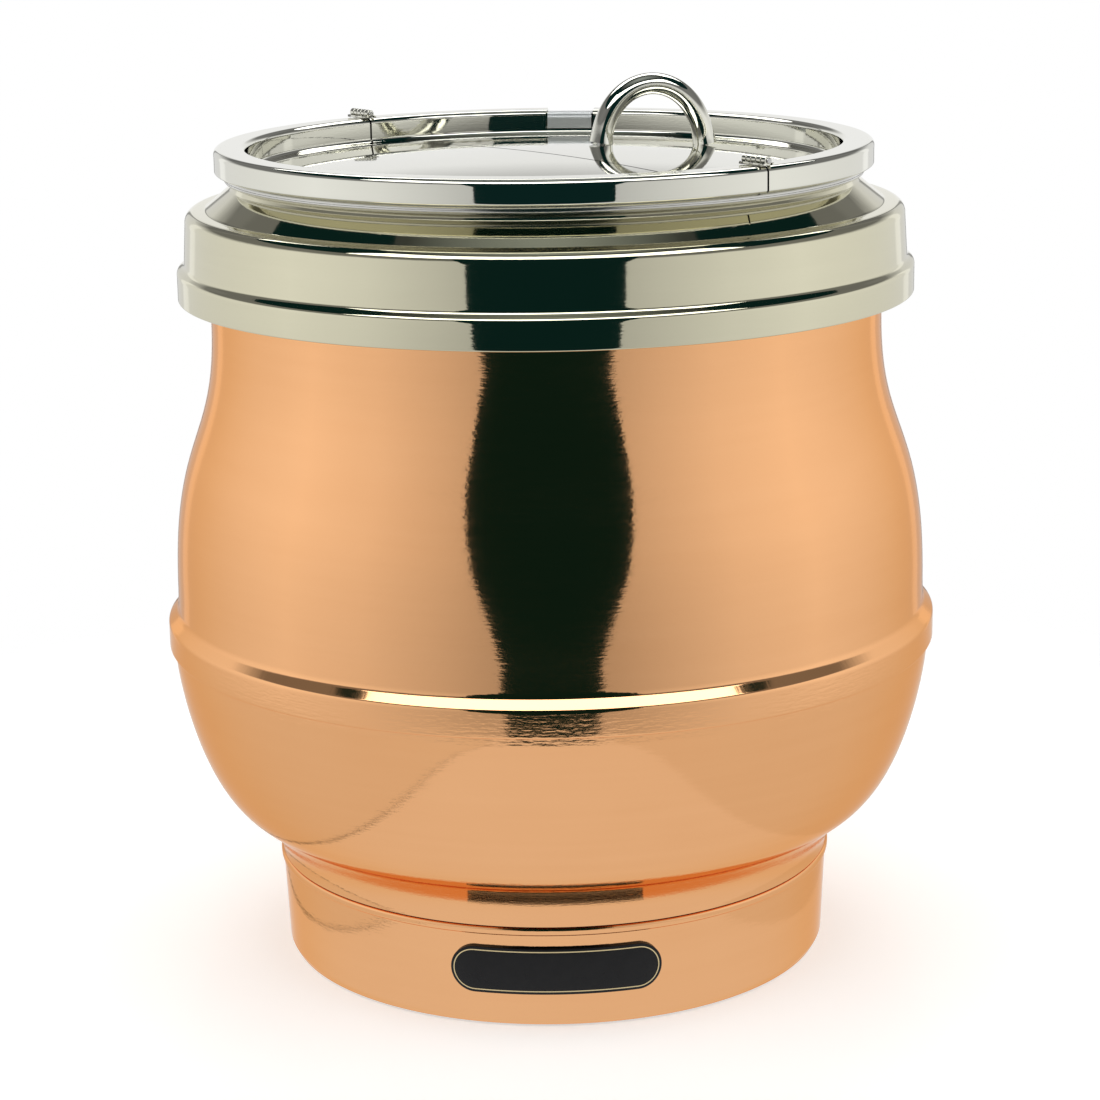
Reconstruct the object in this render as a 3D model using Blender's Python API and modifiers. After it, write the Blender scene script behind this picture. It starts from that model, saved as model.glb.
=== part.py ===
"""Wet-heat soup kettle: turned copper body, water pan, adaptor ring, soup pot and fold-back lid.

Lengths are in millimetres until they reach Blender, which works in metres. The origin is on the
kettle's axis at the floor, +Z is up and the badge is on the front, at -Y.
"""
from math import cos, pi, radians, sin, sqrt

import bmesh
import bpy
from mathutils import Matrix, Vector

MM = 0.001
SEG = 36                      # segments round the large outer pieces
INNER_SEG = 24                # segments round the pan and pot
SMALL_SEG = 12                # segments round controls, pins and studs
SCREW_SEG = 10                # segments round screws, pillars and their holes
HOLE_SEG = 16                 # segments round the control holes
GAP = 0.3                     # gap between neighbouring pieces
HEX_CLEAR = 1.0 / cos(pi / 6.0)   # corner radius over flat radius of a six-sided hole
SHEET = 1.2                   # metal thickness of the body, ring, pot and lid

# Feet, base plate and base ring
FOOT_TOP, FOOT_R, FOOT_PITCH_R = 3.7, 11.5, 96.0
FOOT_STEM_R, FOOT_HOLE_R = 3.0, 3.4
BASE_PLATE_Z, BASE_PLATE_T, BASE_PLATE_R = 4.0, 1.2, 118.8
BASE_LOW_Z, BASE_TOP_Z = 1.0, 46.0
BASE_LOW_R, BASE_TOP_R = 122.0, 124.0
LIP_R = 106.0                 # inner edge of the base's and bowl's turned-in flanges

# Bowl and upper shell
BOWL_LOW_Z, BOWL_TOP_Z, BOWL_TOP_R = BASE_TOP_Z + GAP, 150.0, 168.4
SKIRT_Z, BEAD_R, BEAD_TOP_Z = 143.5, 170.9, 152.0
SHOULDER_R, SHOULDER_Z = 166.2, 169.0
NECK_R, NECK_Z = 146.8, 285.0
SHELL_FLANGE_Z, FLANGE_R = 305.2, 158.6
PAN_R, PAN_FLOOR_Z, PAN_CORNER, PAN_SHEET = 143.0, 100.0, 13.0, 1.0
PAN_FLANGE_Z = SHELL_FLANGE_Z + SHEET + GAP

# Adaptor ring, pot and lid
RING_R, RING_LOW_Z, RING_WALL_R, RING_TOP_Z = 160.7, 297.5, 156.6, 336.0
RING_NECK_R, RING_NECK_Z = 135.8, 347.5
POT_R, POT_FLOOR_Z, POT_RIM_R, POT_RIM_Z = 131.5, 135.0, 139.0, 351.5
LID_R, LID_IN_R, LID_LOW_Z, LID_TOP_Z = 143.0, 129.0, POT_RIM_Z + GAP, 362.3
LID_CROWN_Z, LID_DOME_R = 356.5, 1500.0
DOME_STEPS = (0.0, 46.9, 86.5, 124.0)
SPLIT_GAP = 1.0
SLEEVE_TURN, SLEEVE_LEN = radians(-5.5), 22.5   # the sleeve's middle, measured from the rear
HINGE_TURN = radians(-51.34)  # the hinge line, measured from +X
HINGE_Z, HINGE_MID_R = 364.5, 136.0
KNUCKLE_R, PIN_R, PIN_CLEAR = 1.9, 0.8, 0.1
KNUCKLES, KNUCKLE_LEN, KNUCKLE_GAP = 5, 2.6, 0.25
KNUCKLE_FOOT_OUT, KNUCKLE_FOOT_UP = 3.2, 0.9
LEAF_HALF = (KNUCKLES * KNUCKLE_LEN + (KNUCKLES - 1) * KNUCKLE_GAP) / 2.0

# Handle on the flap
HANDLE_X, HANDLE_Y, HANDLE_TURN = 49.0, 44.0, radians(12.0)
HANDLE_HALF_SPAN, HANDLE_LEAN, HANDLE_RISE = 23.9, 4.0, 26.8
HANDLE_THICK, HANDLE_WIDE, HANDLE_LIFT = 9.6, 12.0, 1.0

# Badge on the front and controls on the rear of the base
BADGE_W, BADGE_H, BADGE_Z, BADGE_T = 91.0, 21.0, 26.5, 1.4
PANEL_W, PANEL_H, PANEL_END_R, PANEL_T = 108.0, 34.0, 8.0, 2.0
KNOB_Z, KNOB_R, KNOB_LEN, KNOB_LIFT = 24.0, 14.0, 14.0, 3.9
SHAFT_R, SHAFT_CLEAR = 3.0, 0.25
POINTER_WIDE, POINTER_START, POINTER_END = 1.6, 3.0, 13.0
THERMOSTAT_WIDE, THERMOSTAT_DEEP, THERMOSTAT_TALL = 32.0, 26.0, 28.0
BUSH_R, LAMP_R, INLET_R = 5.0, 4.6, 8.0
REAR, FRONT = 90.0, 270.0     # directions seen from above, in degrees from +X
LAMP_WAY, INLET_WAY = REAR + 17.0, REAR - 18.0
CONTROL_HOLES = (("bush", BUSH_R + GAP, REAR), ("lamp", LAMP_R + GAP, LAMP_WAY),
                 ("inlet", INLET_R + GAP, INLET_WAY))

# Heating and fixings
ELEMENT_R, ELEMENT_TUBE_R, ELEMENT_Z, ELEMENT_OPEN = 80.0, 4.0, 95.4, 50.0
ELEMENT_TAIL_Z = 74.0
SPREAD_Z, SPREAD_T, SPREAD_R, STUD_R = 87.0, 4.0, 100.0, 4.0
NOTCH_WIDE, NOTCH_FROM_Y = 92.0, 55.0   # room in the spreader for the element's tails
CUTOUT_X, CUTOUT_Y = -40.0, -30.0
TERMINALS_LOW, TERMINALS_HIGH, TERMINALS_TALL = (28.0, 52.0), (62.0, 68.0), 14.0
VENT_HALF_LEN, VENT_HALF_WIDE, VENT_ROWS = 30.0, 2.5, (-36.0, -12.0, 12.0, 36.0)
CONTROL_CUT_FROM, CONTROL_CUT_TO = 112.0, 136.0
BULB_Y, BULB_Z, BULB_R, BULB_HALF = 112.0, 96.2, 3.0, 28.0
PILLAR_PITCH_R, PILLAR_R, SCREW_HOLE_R, SCREW_R = 112.0, 5.0, 2.3, 2.0
PILLAR_WAYS = (FRONT, 30.0, 150.0)
FOOT_WAYS = (45.0, 135.0, 225.0, 315.0)

# Looks: colour, metallic, roughness
COPPER = ((0.78, 0.42, 0.25), 1.0, 0.12)
STEEL = ((0.62, 0.62, 0.60), 1.0, 0.12)
DULL_STEEL = ((0.50, 0.50, 0.50), 1.0, 0.35)
SATIN = ((0.45, 0.45, 0.45), 1.0, 0.45)
ZINC = ((0.55, 0.56, 0.58), 1.0, 0.4)
ALUMINIUM = ((0.70, 0.71, 0.72), 1.0, 0.4)
BLACK = ((0.02, 0.02, 0.02), 0.0, 0.3)
RUBBER = ((0.03, 0.03, 0.03), 0.0, 0.8)
CREAM = ((0.75, 0.70, 0.58), 0.0, 0.5)
AMBER = ((0.85, 0.25, 0.04), 0.0, 0.1)
BRASS = ((0.72, 0.53, 0.24), 1.0, 0.3)


# ---------------------------------------------------------------- tools

def clear_scene():
    for obj in list(bpy.data.objects):
        bpy.data.objects.remove(obj, do_unlink=True)


def collection(name):
    found = bpy.data.collections.get(name)
    if not found:
        found = bpy.data.collections.new(name)
        bpy.context.scene.collection.children.link(found)
    return found


def material(name, colour, metallic, roughness):
    mat = bpy.data.materials.new(name)
    mat.use_nodes = True
    shader = mat.node_tree.nodes["Principled BSDF"]
    shader.inputs["Base Color"].default_value = (*colour, 1.0)
    shader.inputs["Metallic"].default_value = metallic
    shader.inputs["Roughness"].default_value = roughness
    return mat


def add_object(name, data, look):
    """A visible piece when it has a look, and a hidden cutter when it has none."""
    obj = bpy.data.objects.new(name, data)
    if look:
        collection("Soup kettle").objects.link(obj)
        data.materials.append(material(name, *look))
    else:
        collection("Cutters").objects.link(obj)
        obj.hide_render = True
        obj.display_type = 'WIRE'
    return obj


def mesh_from(name, work, look):
    mesh = bpy.data.meshes.new(name)
    work.to_mesh(mesh)
    work.free()
    return add_object(name, mesh, look)


def blocks(name, spans, look=None):
    """One object of boxes, each given by its low and high corners."""
    work = bmesh.new()
    for low, high in spans:
        low, high = Vector(low) * MM, Vector(high) * MM
        size = Matrix.Diagonal((*(high - low), 1.0))
        bmesh.ops.create_cube(work, size=1.0, matrix=Matrix.Translation((low + high) / 2.0) @ size)
    return mesh_from(name, work, look)


def rod(name, radius, start, end, segments=SCREW_SEG, look=None):
    """A straight round bar between two points."""
    start, end = Vector(start) * MM, Vector(end) * MM
    turn = (end - start).to_track_quat('Z', 'Y').to_matrix().to_4x4()
    work = bmesh.new()
    bmesh.ops.create_cone(work, cap_ends=True, segments=segments, radius1=radius * MM,
                          radius2=radius * MM, depth=(end - start).length,
                          matrix=Matrix.Translation((start + end) / 2.0) @ turn)
    return mesh_from(name, work, look)


def turned(name, profile, look, segments=SEG):
    """Spin a profile of (radius, height) points; the outer side runs from top to bottom."""
    mesh = bpy.data.meshes.new(name)
    count = len(profile)
    edges = [(i, i + 1) for i in range(count - 1)]
    if profile[0][0] > 0.0 or profile[-1][0] > 0.0:
        edges.append((count - 1, 0))
    mesh.from_pydata([(r * MM, 0.0, z * MM) for r, z in profile], edges, [])
    obj = add_object(name, mesh, look)
    screw = obj.modifiers.new("Turn", 'SCREW')
    screw.axis = 'Z'
    screw.angle = 2.0 * pi
    screw.steps = segments
    screw.render_steps = segments
    screw.use_merge_vertices = True
    screw.merge_threshold = 0.00001
    return obj


def as_mesh(obj):
    """Replace a curve object by its mesh, with the caps welded."""
    bpy.context.view_layer.update()
    shape = obj.evaluated_get(bpy.context.evaluated_depsgraph_get())
    mesh = bpy.data.meshes.new_from_object(shape)
    work = bmesh.new()
    work.from_mesh(mesh)
    bmesh.ops.remove_doubles(work, verts=work.verts, dist=0.00001)
    work.to_mesh(mesh)
    work.free()
    name, matrix, home = obj.name, obj.matrix_world.copy(), obj.users_collection[0]
    hidden, display = obj.hide_render, obj.display_type
    bpy.data.objects.remove(obj, do_unlink=True)
    new = bpy.data.objects.new(name, mesh)
    home.objects.link(new)
    new.matrix_world = matrix
    new.hide_render, new.display_type = hidden, display
    return new


def flat(name, outline, thick, look=None):
    """A flat outline in its own XY plane, thickened both ways along Z."""
    data = bpy.data.curves.new(name, 'CURVE')
    data.dimensions = '2D'
    data.fill_mode = 'BOTH'
    data.extrude = thick / 2.0 * MM
    spline = data.splines.new('POLY')
    spline.points.add(len(outline) - 1)
    for point, (x, y) in zip(spline.points, outline):
        point.co = (x * MM, y * MM, 0.0, 1.0)
    spline.use_cyclic_u = True
    return add_object(name, data, look)


def tube(name, path, radius, look, resolution=1):
    """A round tube along a line of points."""
    data = bpy.data.curves.new(name, 'CURVE')
    data.dimensions = '3D'
    data.bevel_depth = radius * MM
    data.bevel_resolution = resolution
    data.use_fill_caps = True
    spline = data.splines.new('POLY')
    spline.points.add(len(path) - 1)
    for point, spot in zip(spline.points, path):
        point.co = (*(Vector(spot) * MM), 1.0)
    return add_object(name, data, look)


def boolean(obj, tool, operation='DIFFERENCE'):
    mod = obj.modifiers.new("Cut", 'BOOLEAN')
    mod.operation = operation
    mod.solver = 'EXACT'
    mod.object = tool
    return obj


def rounded(obj, width):
    mod = obj.modifiers.new("Edge", 'BEVEL')
    mod.width = width * MM
    mod.segments = 2
    mod.limit_method = 'ANGLE'
    return obj


def place(obj, point, turn=(0.0, 0.0, 0.0)):
    obj.location = Vector(point) * MM
    obj.rotation_euler = turn
    return obj


def polar(radius, degrees, z=0.0):
    return (radius * cos(radians(degrees)), radius * sin(radians(degrees)), z)


def pivot(name, point, turn, pieces):
    """An empty on a joint's axis that carries the pieces which turn about it."""
    empty = bpy.data.objects.new(name, None)
    collection("Soup kettle").objects.link(empty)
    place(empty, point, turn)
    bpy.context.view_layer.update()
    for piece in pieces:
        piece.parent = empty
        piece.matrix_parent_inverse = empty.matrix_world.inverted()


def bezier(p0, p1, p2, p3, count, first=0):
    points = []
    for i in range(first, count + 1):
        t = i / count
        s = 1.0 - t
        weights = (s ** 3, 3 * s * s * t, 3 * s * t * t, t ** 3)
        points.append(tuple(sum(w * p[k] for w, p in zip(weights, (p0, p1, p2, p3))) for k in (0, 1)))
    return points


def inset(points, thick):
    """The same line moved inwards by a sheet's thickness, in reverse order."""
    moved = []
    for i, (r, z) in enumerate(points):
        r0, z0 = points[max(i - 1, 0)]
        r1, z1 = points[min(i + 1, len(points) - 1)]
        length = sqrt((r1 - r0) ** 2 + (z1 - z0) ** 2)
        moved.append((r + (z1 - z0) / length * thick, z - (r1 - r0) / length * thick))
    return moved[::-1]


# ---------------------------------------------------------------- outer body

def base_wall_r(z):
    share = (z - BASE_LOW_Z) / (BASE_TOP_Z - BASE_LOW_Z)
    return BASE_LOW_R + (BASE_TOP_R - BASE_LOW_R) * share


def cut_screw_holes(obj, low, high):
    for i, way in enumerate(PILLAR_WAYS):
        boolean(obj, rod(f"{obj.name}_screw_hole_{i}", SCREW_HOLE_R, polar(PILLAR_PITCH_R, way, low),
                         polar(PILLAR_PITCH_R, way, high)))


def cut_control_holes(obj):
    for tag, radius, way in CONTROL_HOLES:
        boolean(obj, rod(f"{obj.name}_{tag}_hole", radius, polar(CONTROL_CUT_FROM, way, KNOB_Z),
                         polar(CONTROL_CUT_TO, way, KNOB_Z), HOLE_SEG))


def make_base_ring():
    outer = [(LIP_R, BASE_TOP_Z), (123.2, BASE_TOP_Z), (124.5, 45.2), (124.7, 44.2), (124.0, 42.8),
             (base_wall_r(24.0), 24.0), (base_wall_r(5.0), 5.0), (121.6, 2.2), (120.4, BASE_LOW_Z)]
    inner = [(119.4, BASE_LOW_Z), (119.6, 3.0), (base_wall_r(24.0) - SHEET, 24.0), (122.7, 42.8),
             (122.7, BASE_TOP_Z - SHEET), (LIP_R, BASE_TOP_Z - SHEET)]
    ring = turned("base_ring", outer + inner, COPPER)
    cut_screw_holes(ring, BASE_TOP_Z - 5.0, BASE_TOP_Z + 2.0)
    cut_control_holes(ring)


def make_lower_bowl():
    side = bezier((BOWL_TOP_R, 140.0), (BOWL_TOP_R, 130.0), (159.5, 77.5), (137.0, 67.0), 6)
    flare = bezier((137.0, 67.0), (129.5, 59.0), (124.4, 54.5), (124.2, BOWL_LOW_Z), 3, 1)
    outer = [(BOWL_TOP_R, BOWL_TOP_Z)] + side + flare
    inner = inset(outer, SHEET)
    inner[0] = (inner[1][0] - 0.4, BOWL_LOW_Z + SHEET)
    lip = [(LIP_R, BOWL_LOW_Z), (LIP_R, BOWL_LOW_Z + SHEET)]
    cut_screw_holes(turned("lower_bowl", outer + lip + inner, COPPER), BOWL_LOW_Z - 2.0, BOWL_LOW_Z + 5.0)


def make_upper_shell():
    flange = [(FLANGE_R, SHELL_FLANGE_Z + SHEET), (FLANGE_R, SHELL_FLANGE_Z), (151.6, SHELL_FLANGE_Z),
              (NECK_R, 300.0)]
    side = bezier((NECK_R, NECK_Z), (NECK_R + 0.4, 232.0), (SHOULDER_R, 238.0),
                  (SHOULDER_R, SHOULDER_Z), 6)
    bead = [(167.6, 161.0), (169.9, 155.2), (BEAD_R, BEAD_TOP_Z), (BEAD_R, SKIRT_Z + 0.6),
            (BEAD_R - 0.6, SKIRT_Z)]
    skirt_r = BOWL_TOP_R + 0.4
    inner = [(skirt_r, SKIRT_Z), (skirt_r, BEAD_TOP_Z - 1.0), (166.3, 161.0),
             (SHOULDER_R - SHEET, SHOULDER_Z)]
    inner += inset(side, SHEET)[1:]
    inner += [(NECK_R - SHEET, 300.6), (151.0, SHELL_FLANGE_Z + SHEET)]
    turned("upper_shell", flange + side + bead + inner, COPPER)


def round_ended(width, height, end_r, steps=5):
    """Outline of a plate with rounded corners, or with half-round ends when end_r is half its height."""
    outline = []
    for quarter, (sx, sy) in enumerate(((1, 1), (-1, 1), (-1, -1), (1, -1))):
        for i in range(steps + 1):
            turn = pi / 2.0 * (quarter + i / steps)
            spot = (sx * (width / 2.0 - end_r) + end_r * cos(turn),
                    sy * (height / 2.0 - end_r) + end_r * sin(turn))
            if not outline or Vector(spot).to_3d() != Vector(outline[-1]).to_3d():
                outline.append(spot)
    return outline


def bent_plate(name, way, size, end_r, z_mid, thick, look):
    """A plate that follows the base's wall: a turned band kept only inside an outline."""
    width, height = size
    low, high = z_mid - height / 2.0 - 2.0, z_mid + height / 2.0 + 2.0
    near, far = GAP, GAP + thick
    band = turned(name, [(base_wall_r(high) + far, high), (base_wall_r(low) + far, low),
                         (base_wall_r(low) + near, low), (base_wall_r(high) + near, high)], look)
    outline = as_mesh(flat(name + "_outline", round_ended(width, height, end_r), 40.0))
    place(outline, polar(125.0, way, z_mid), (pi / 2.0, 0.0, radians(way + 90.0)))
    return boolean(band, outline, 'INTERSECT')


# ---------------------------------------------------------------- base fittings

def make_base_plate():
    top = BASE_PLATE_Z + BASE_PLATE_T
    plate = turned("base_plate", [(0.0, top), (BASE_PLATE_R, top), (BASE_PLATE_R, BASE_PLATE_Z),
                                  (0.0, BASE_PLATE_Z)], ZINC)
    cut_screw_holes(plate, BASE_PLATE_Z - 2.0, top + 2.0)
    for i, way in enumerate(FOOT_WAYS):
        boolean(plate, rod(f"plate_foot_hole_{i}", FOOT_HOLE_R, polar(FOOT_PITCH_R, way, 2.0),
                           polar(FOOT_PITCH_R, way, 7.0)))
    vents = [((-VENT_HALF_LEN, y - VENT_HALF_WIDE, 2.0), (VENT_HALF_LEN, y + VENT_HALF_WIDE, 8.0))
             for y in VENT_ROWS]
    boolean(plate, blocks("plate_vents", vents))


def make_feet():
    top = BASE_PLATE_Z + BASE_PLATE_T + GAP
    profile = [(0.0, top + 2.0), (4.4, top + 1.6), (4.4, top), (FOOT_STEM_R, top), (FOOT_STEM_R, FOOT_TOP),
               (FOOT_R, FOOT_TOP), (FOOT_R, 1.0), (FOOT_R - 1.0, 0.0), (0.0, 0.0)]
    for i, way in enumerate(FOOT_WAYS):
        place(turned(f"foot_{i + 1}", profile, RUBBER, 14), polar(FOOT_PITCH_R, way))


def make_pillars_and_screws():
    low, high = BASE_PLATE_Z + BASE_PLATE_T + GAP, BASE_TOP_Z - SHEET - GAP
    pillar = [(0.0, 32.0), (SCREW_HOLE_R, 32.0), (SCREW_HOLE_R, high), (PILLAR_R, high),
              (PILLAR_R, low), (SCREW_HOLE_R, low), (SCREW_HOLE_R, 18.0), (0.0, 18.0)]
    seat = BOWL_LOW_Z + SHEET + GAP
    upper = [(0.0, seat + 2.6), (2.6, seat + 2.4), (4.0, seat + 1.0), (4.0, seat), (SCREW_R, seat),
             (SCREW_R, 34.0), (0.0, 34.0)]
    under = BASE_PLATE_Z - GAP
    lower = [(0.0, 16.0), (SCREW_R, 16.0), (SCREW_R, under), (4.2, under), (4.2, 2.6), (3.0, 1.6),
             (0.0, 1.5)]
    for i, way in enumerate(PILLAR_WAYS):
        spot = polar(PILLAR_PITCH_R, way)
        place(turned(f"pillar_{i + 1}", pillar, ZINC, SCREW_SEG), spot)
        place(turned(f"bowl_screw_{i + 1}", upper, ZINC, SCREW_SEG), spot)
        place(turned(f"plate_screw_{i + 1}", lower, ZINC, SCREW_SEG), spot)


def radial(name, profile, look, way, segments=SMALL_SEG):
    """A turned piece lying along a radius of the base, its profile's heights measured from the axis."""
    piece = turned(name, profile, look, segments)
    return place(piece, (0.0, 0.0, KNOB_Z), (0.0, pi / 2.0, radians(way)))


def make_controls():
    face = base_wall_r(KNOB_Z + 12.0) + GAP + PANEL_T + GAP
    back = base_wall_r(KNOB_Z) - SHEET
    cut_control_holes(bent_plate("control_panel", REAR, (PANEL_W, PANEL_H), PANEL_END_R, KNOB_Z,
                                 PANEL_T, BLACK))
    bore, bush_back = SHAFT_R + SHAFT_CLEAR, back - 4.4
    radial("control_bush", [(bore, face + 3.4), (BUSH_R, face + 3.4), (BUSH_R, back - 2.4),
                            (9.0, back - 2.4), (9.0, bush_back), (bore, bush_back)], ZINC, REAR)
    nut_bore = (BUSH_R + 0.2) * HEX_CLEAR
    radial("bush_nut", [(nut_bore, face + 2.6), (8.8, face + 2.6), (9.2, face), (nut_bore, face)],
           ZINC, REAR, 6)
    case = bush_back - GAP
    half_wide, half_tall = THERMOSTAT_WIDE / 2.0, THERMOSTAT_TALL / 2.0
    body = ((-half_wide, case - THERMOSTAT_DEEP, KNOB_Z - half_tall), (half_wide, case, KNOB_Z + half_tall))
    thermostat = rounded(blocks("thermostat", [body], CREAM), 1.5)
    boolean(thermostat, rod("thermostat_bore", SHAFT_R + GAP, (0.0, case - 8.0, KNOB_Z),
                            (0.0, case + 2.0, KNOB_Z), SMALL_SEG))
    tip = face + 12.0
    shaft = radial("knob_shaft", [(0.0, tip), (SHAFT_R, tip), (SHAFT_R, case - 7.0), (0.0, case - 7.0)],
                   DULL_STEEL, REAR)
    low, hub_r = face + KNOB_LIFT, SHAFT_R + 0.2
    top = low + KNOB_LEN
    knob = radial("control_knob", [(0.0, top), (KNOB_R - 3.0, top), (KNOB_R - 2.0, top - 1.0),
                                   (KNOB_R - 1.2, low + 3.0), (KNOB_R + 1.6, low + 2.2),
                                   (KNOB_R + 2.0, low), (hub_r, low), (hub_r, tip + 0.4),
                                   (0.0, tip + 0.4)], BLACK, REAR, 20)
    slot = ((-POINTER_WIDE / 2.0, top - 1.0, KNOB_Z + POINTER_START),
            (POINTER_WIDE / 2.0, top + 2.0, KNOB_Z + POINTER_END))
    boolean(knob, blocks("knob_pointer_slot", [slot]))
    pivot("knob_pivot", (0.0, face, KNOB_Z), (0.0, 0.0, 0.0), (shaft, knob))


def make_lamp_and_inlet():
    face = base_wall_r(KNOB_Z + 12.0) + GAP + PANEL_T + GAP
    back = base_wall_r(KNOB_Z) - SHEET
    radial("power_lamp", [(0.0, face + 2.6), (3.0, face + 2.2), (5.4, face + 0.8), (5.8, face + 0.2),
                          (LAMP_R, face + 0.2), (LAMP_R, back - 8.0), (3.6, back - 9.0),
                          (0.0, back - 9.0)], AMBER, LAMP_WAY)
    radial("cable_gland", [(3.6, face + 12.0), (5.0, face + 12.0), (6.4, face + 10.6), (7.2, face + 6.0),
                           (10.4, face + 5.2), (10.4, face + 0.2), (INLET_R, face + 0.2),
                           (INLET_R, back - 9.0), (3.6, back - 9.0)], BLACK, INLET_WAY)
    bore = (INLET_R + 0.2) * HEX_CLEAR
    radial("gland_locknut", [(bore, back - 3.2), (13.0, back - 3.2), (13.0, back - 7.2),
                             (bore, back - 7.2)], BLACK, INLET_WAY, 6)
    low = BASE_PLATE_Z + BASE_PLATE_T + GAP
    block = ((*TERMINALS_LOW, low), (*TERMINALS_HIGH, low + TERMINALS_TALL))
    rounded(blocks("terminal_block", [block], CREAM), 1.2)


# ---------------------------------------------------------------- water pan and heating

def make_water_pan():
    top, floor = PAN_FLANGE_Z + SHEET, PAN_FLOOR_Z
    inner = [(0.0, floor + PAN_SHEET), (129.6, floor + PAN_SHEET), (138.4, floor + 4.7),
             (PAN_R - PAN_SHEET, floor + PAN_CORNER + 0.3), (PAN_R - PAN_SHEET, 300.6), (149.6, top)]
    outer = [(FLANGE_R, top), (FLANGE_R, PAN_FLANGE_Z), (150.2, PAN_FLANGE_Z), (PAN_R, 300.0),
             (PAN_R, floor + PAN_CORNER), (139.2, floor + 4.0), (PAN_R - PAN_CORNER, floor), (0.0, floor)]
    turned("water_pan", inner + outer, DULL_STEEL, INNER_SEG)


def make_heating_element():
    first, last, steps = REAR + ELEMENT_OPEN / 2.0, REAR + 360.0 - ELEMENT_OPEN / 2.0, 15
    bend = 5.0
    arc = [polar(ELEMENT_R, first + bend + (last - first - 2 * bend) * i / steps, ELEMENT_Z)
           for i in range(steps + 1)]
    tail = [[polar(ELEMENT_R, way, ELEMENT_TAIL_Z), polar(ELEMENT_R, way, ELEMENT_Z - 6.0)]
            for way in (first, last)]
    tube("heating_element", tail[0] + arc + tail[1][::-1], ELEMENT_TUBE_R, DULL_STEEL)


def make_heat_spreader():
    low, high = SPREAD_Z, SPREAD_Z + SPREAD_T
    hole = STUD_R + 0.4
    profile = [(hole, high), (SPREAD_R, high), (SPREAD_R, low), (hole, low)]
    plate = turned("heat_spreader", profile, ALUMINIUM)
    notch = ((-NOTCH_WIDE / 2.0, NOTCH_FROM_Y, low - 3.0), (NOTCH_WIDE / 2.0, SPREAD_R + 5.0, high + 3.0))
    boolean(plate, blocks("spreader_notch", [notch]))
    rod("spreader_stud", STUD_R, (0.0, 0.0, 79.0), (0.0, 0.0, PAN_FLOOR_Z - GAP), SMALL_SEG, ZINC)
    bore = (STUD_R + 0.3) * HEX_CLEAR
    nut = [(bore, low - GAP), (8.4, low - GAP), (8.4, low - 6.0), (bore, low - 6.0)]
    turned("spreader_nut", nut, ZINC, 6)
    cutout = turned("thermal_cutout", [(0.0, low - GAP), (9.0, low - GAP), (9.0, low - 5.0),
                                       (7.4, low - 9.0), (0.0, low - 9.0)], BLACK, SMALL_SEG)
    place(cutout, (CUTOUT_X, CUTOUT_Y, 0.0))


def make_sensor():
    rod("sensor_bulb", BULB_R, (-BULB_HALF, BULB_Y, BULB_Z), (BULB_HALF, BULB_Y, BULB_Z), SCREW_SEG, BRASS)
    line = [(10.0, 104.0, 38.0 + GAP), (10.0, 104.0, 58.0), (24.0, 108.0, 72.0), (40.0, 111.0, 84.0),
            (42.0, BULB_Y, 92.0), (36.0, BULB_Y, BULB_Z), (BULB_HALF + GAP, BULB_Y, BULB_Z)]
    tube("capillary_tube", line, 1.0, BRASS)


# ---------------------------------------------------------------- ring and pot

def make_adaptor_ring():
    top = RING_TOP_Z
    outer = [(RING_NECK_R - 0.3, RING_NECK_Z), (136.6, 345.2), (146.4, top + 1.0), (150.6, top - 0.6),
             (154.4, top - 3.4), (RING_WALL_R, top - 8.4), (157.4, 314.0), (160.0, 310.0), (RING_R, 307.6),
             (RING_R, RING_LOW_Z + 0.6), (RING_R - 0.6, RING_LOW_Z)]
    inner = [(159.5, RING_LOW_Z), (159.5, 307.3), (158.9, 308.9), (156.1, 313.6), (155.4, top - 8.7),
             (153.4, top - 4.2), (150.0, top - 1.7), (145.8, top - 0.2), (135.6, 344.4),
             (RING_NECK_R - 1.3, RING_NECK_Z)]
    turned("adaptor_ring", outer + inner, STEEL)


def make_soup_pot():
    seat, wall_r = RING_NECK_Z + GAP, POT_R - SHEET
    inner = [(0.0, POT_FLOOR_Z + SHEET), (119.4, POT_FLOOR_Z + SHEET), (127.4, 140.4), (wall_r, 148.4),
             (wall_r, 345.4)]
    outer = [(132.6, POT_RIM_Z), (137.4, POT_RIM_Z), (POT_RIM_R, POT_RIM_Z - 1.6), (137.6, seat),
             (134.0, seat), (POT_R, 344.6), (POT_R, 148.0), (128.6, 139.4), (120.0, POT_FLOOR_Z),
             (0.0, POT_FLOOR_Z)]
    turned("soup_pot", inner + outer, DULL_STEEL, INNER_SEG)


# ---------------------------------------------------------------- lid

def dome_z(r):
    return LID_CROWN_Z - r * r / (2.0 * LID_DOME_R)


def lid_profile():
    dome = [(r, dome_z(r)) for r in DOME_STEPS]
    rim = [(127.6, dome_z(127.0) + 0.2), (LID_IN_R, 353.2), (LID_IN_R, 360.6), (131.0, LID_TOP_Z),
           (140.8, LID_TOP_Z), (LID_R, 360.4), (LID_R, 353.0), (142.0, LID_LOW_Z), (134.0, LID_LOW_Z)]
    back = [(134.0, LID_LOW_Z + SHEET), (141.8, LID_LOW_Z + SHEET), (141.8, 359.9), (140.3, 361.1),
            (131.5, 361.1), (LID_IN_R + SHEET, 360.1), (LID_IN_R + SHEET, 352.0), (128.4, 350.2)]
    under = [(r, dome_z(r) - SHEET) for r in DOME_STEPS[::-1]]
    return dome + rim + back + under


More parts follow.
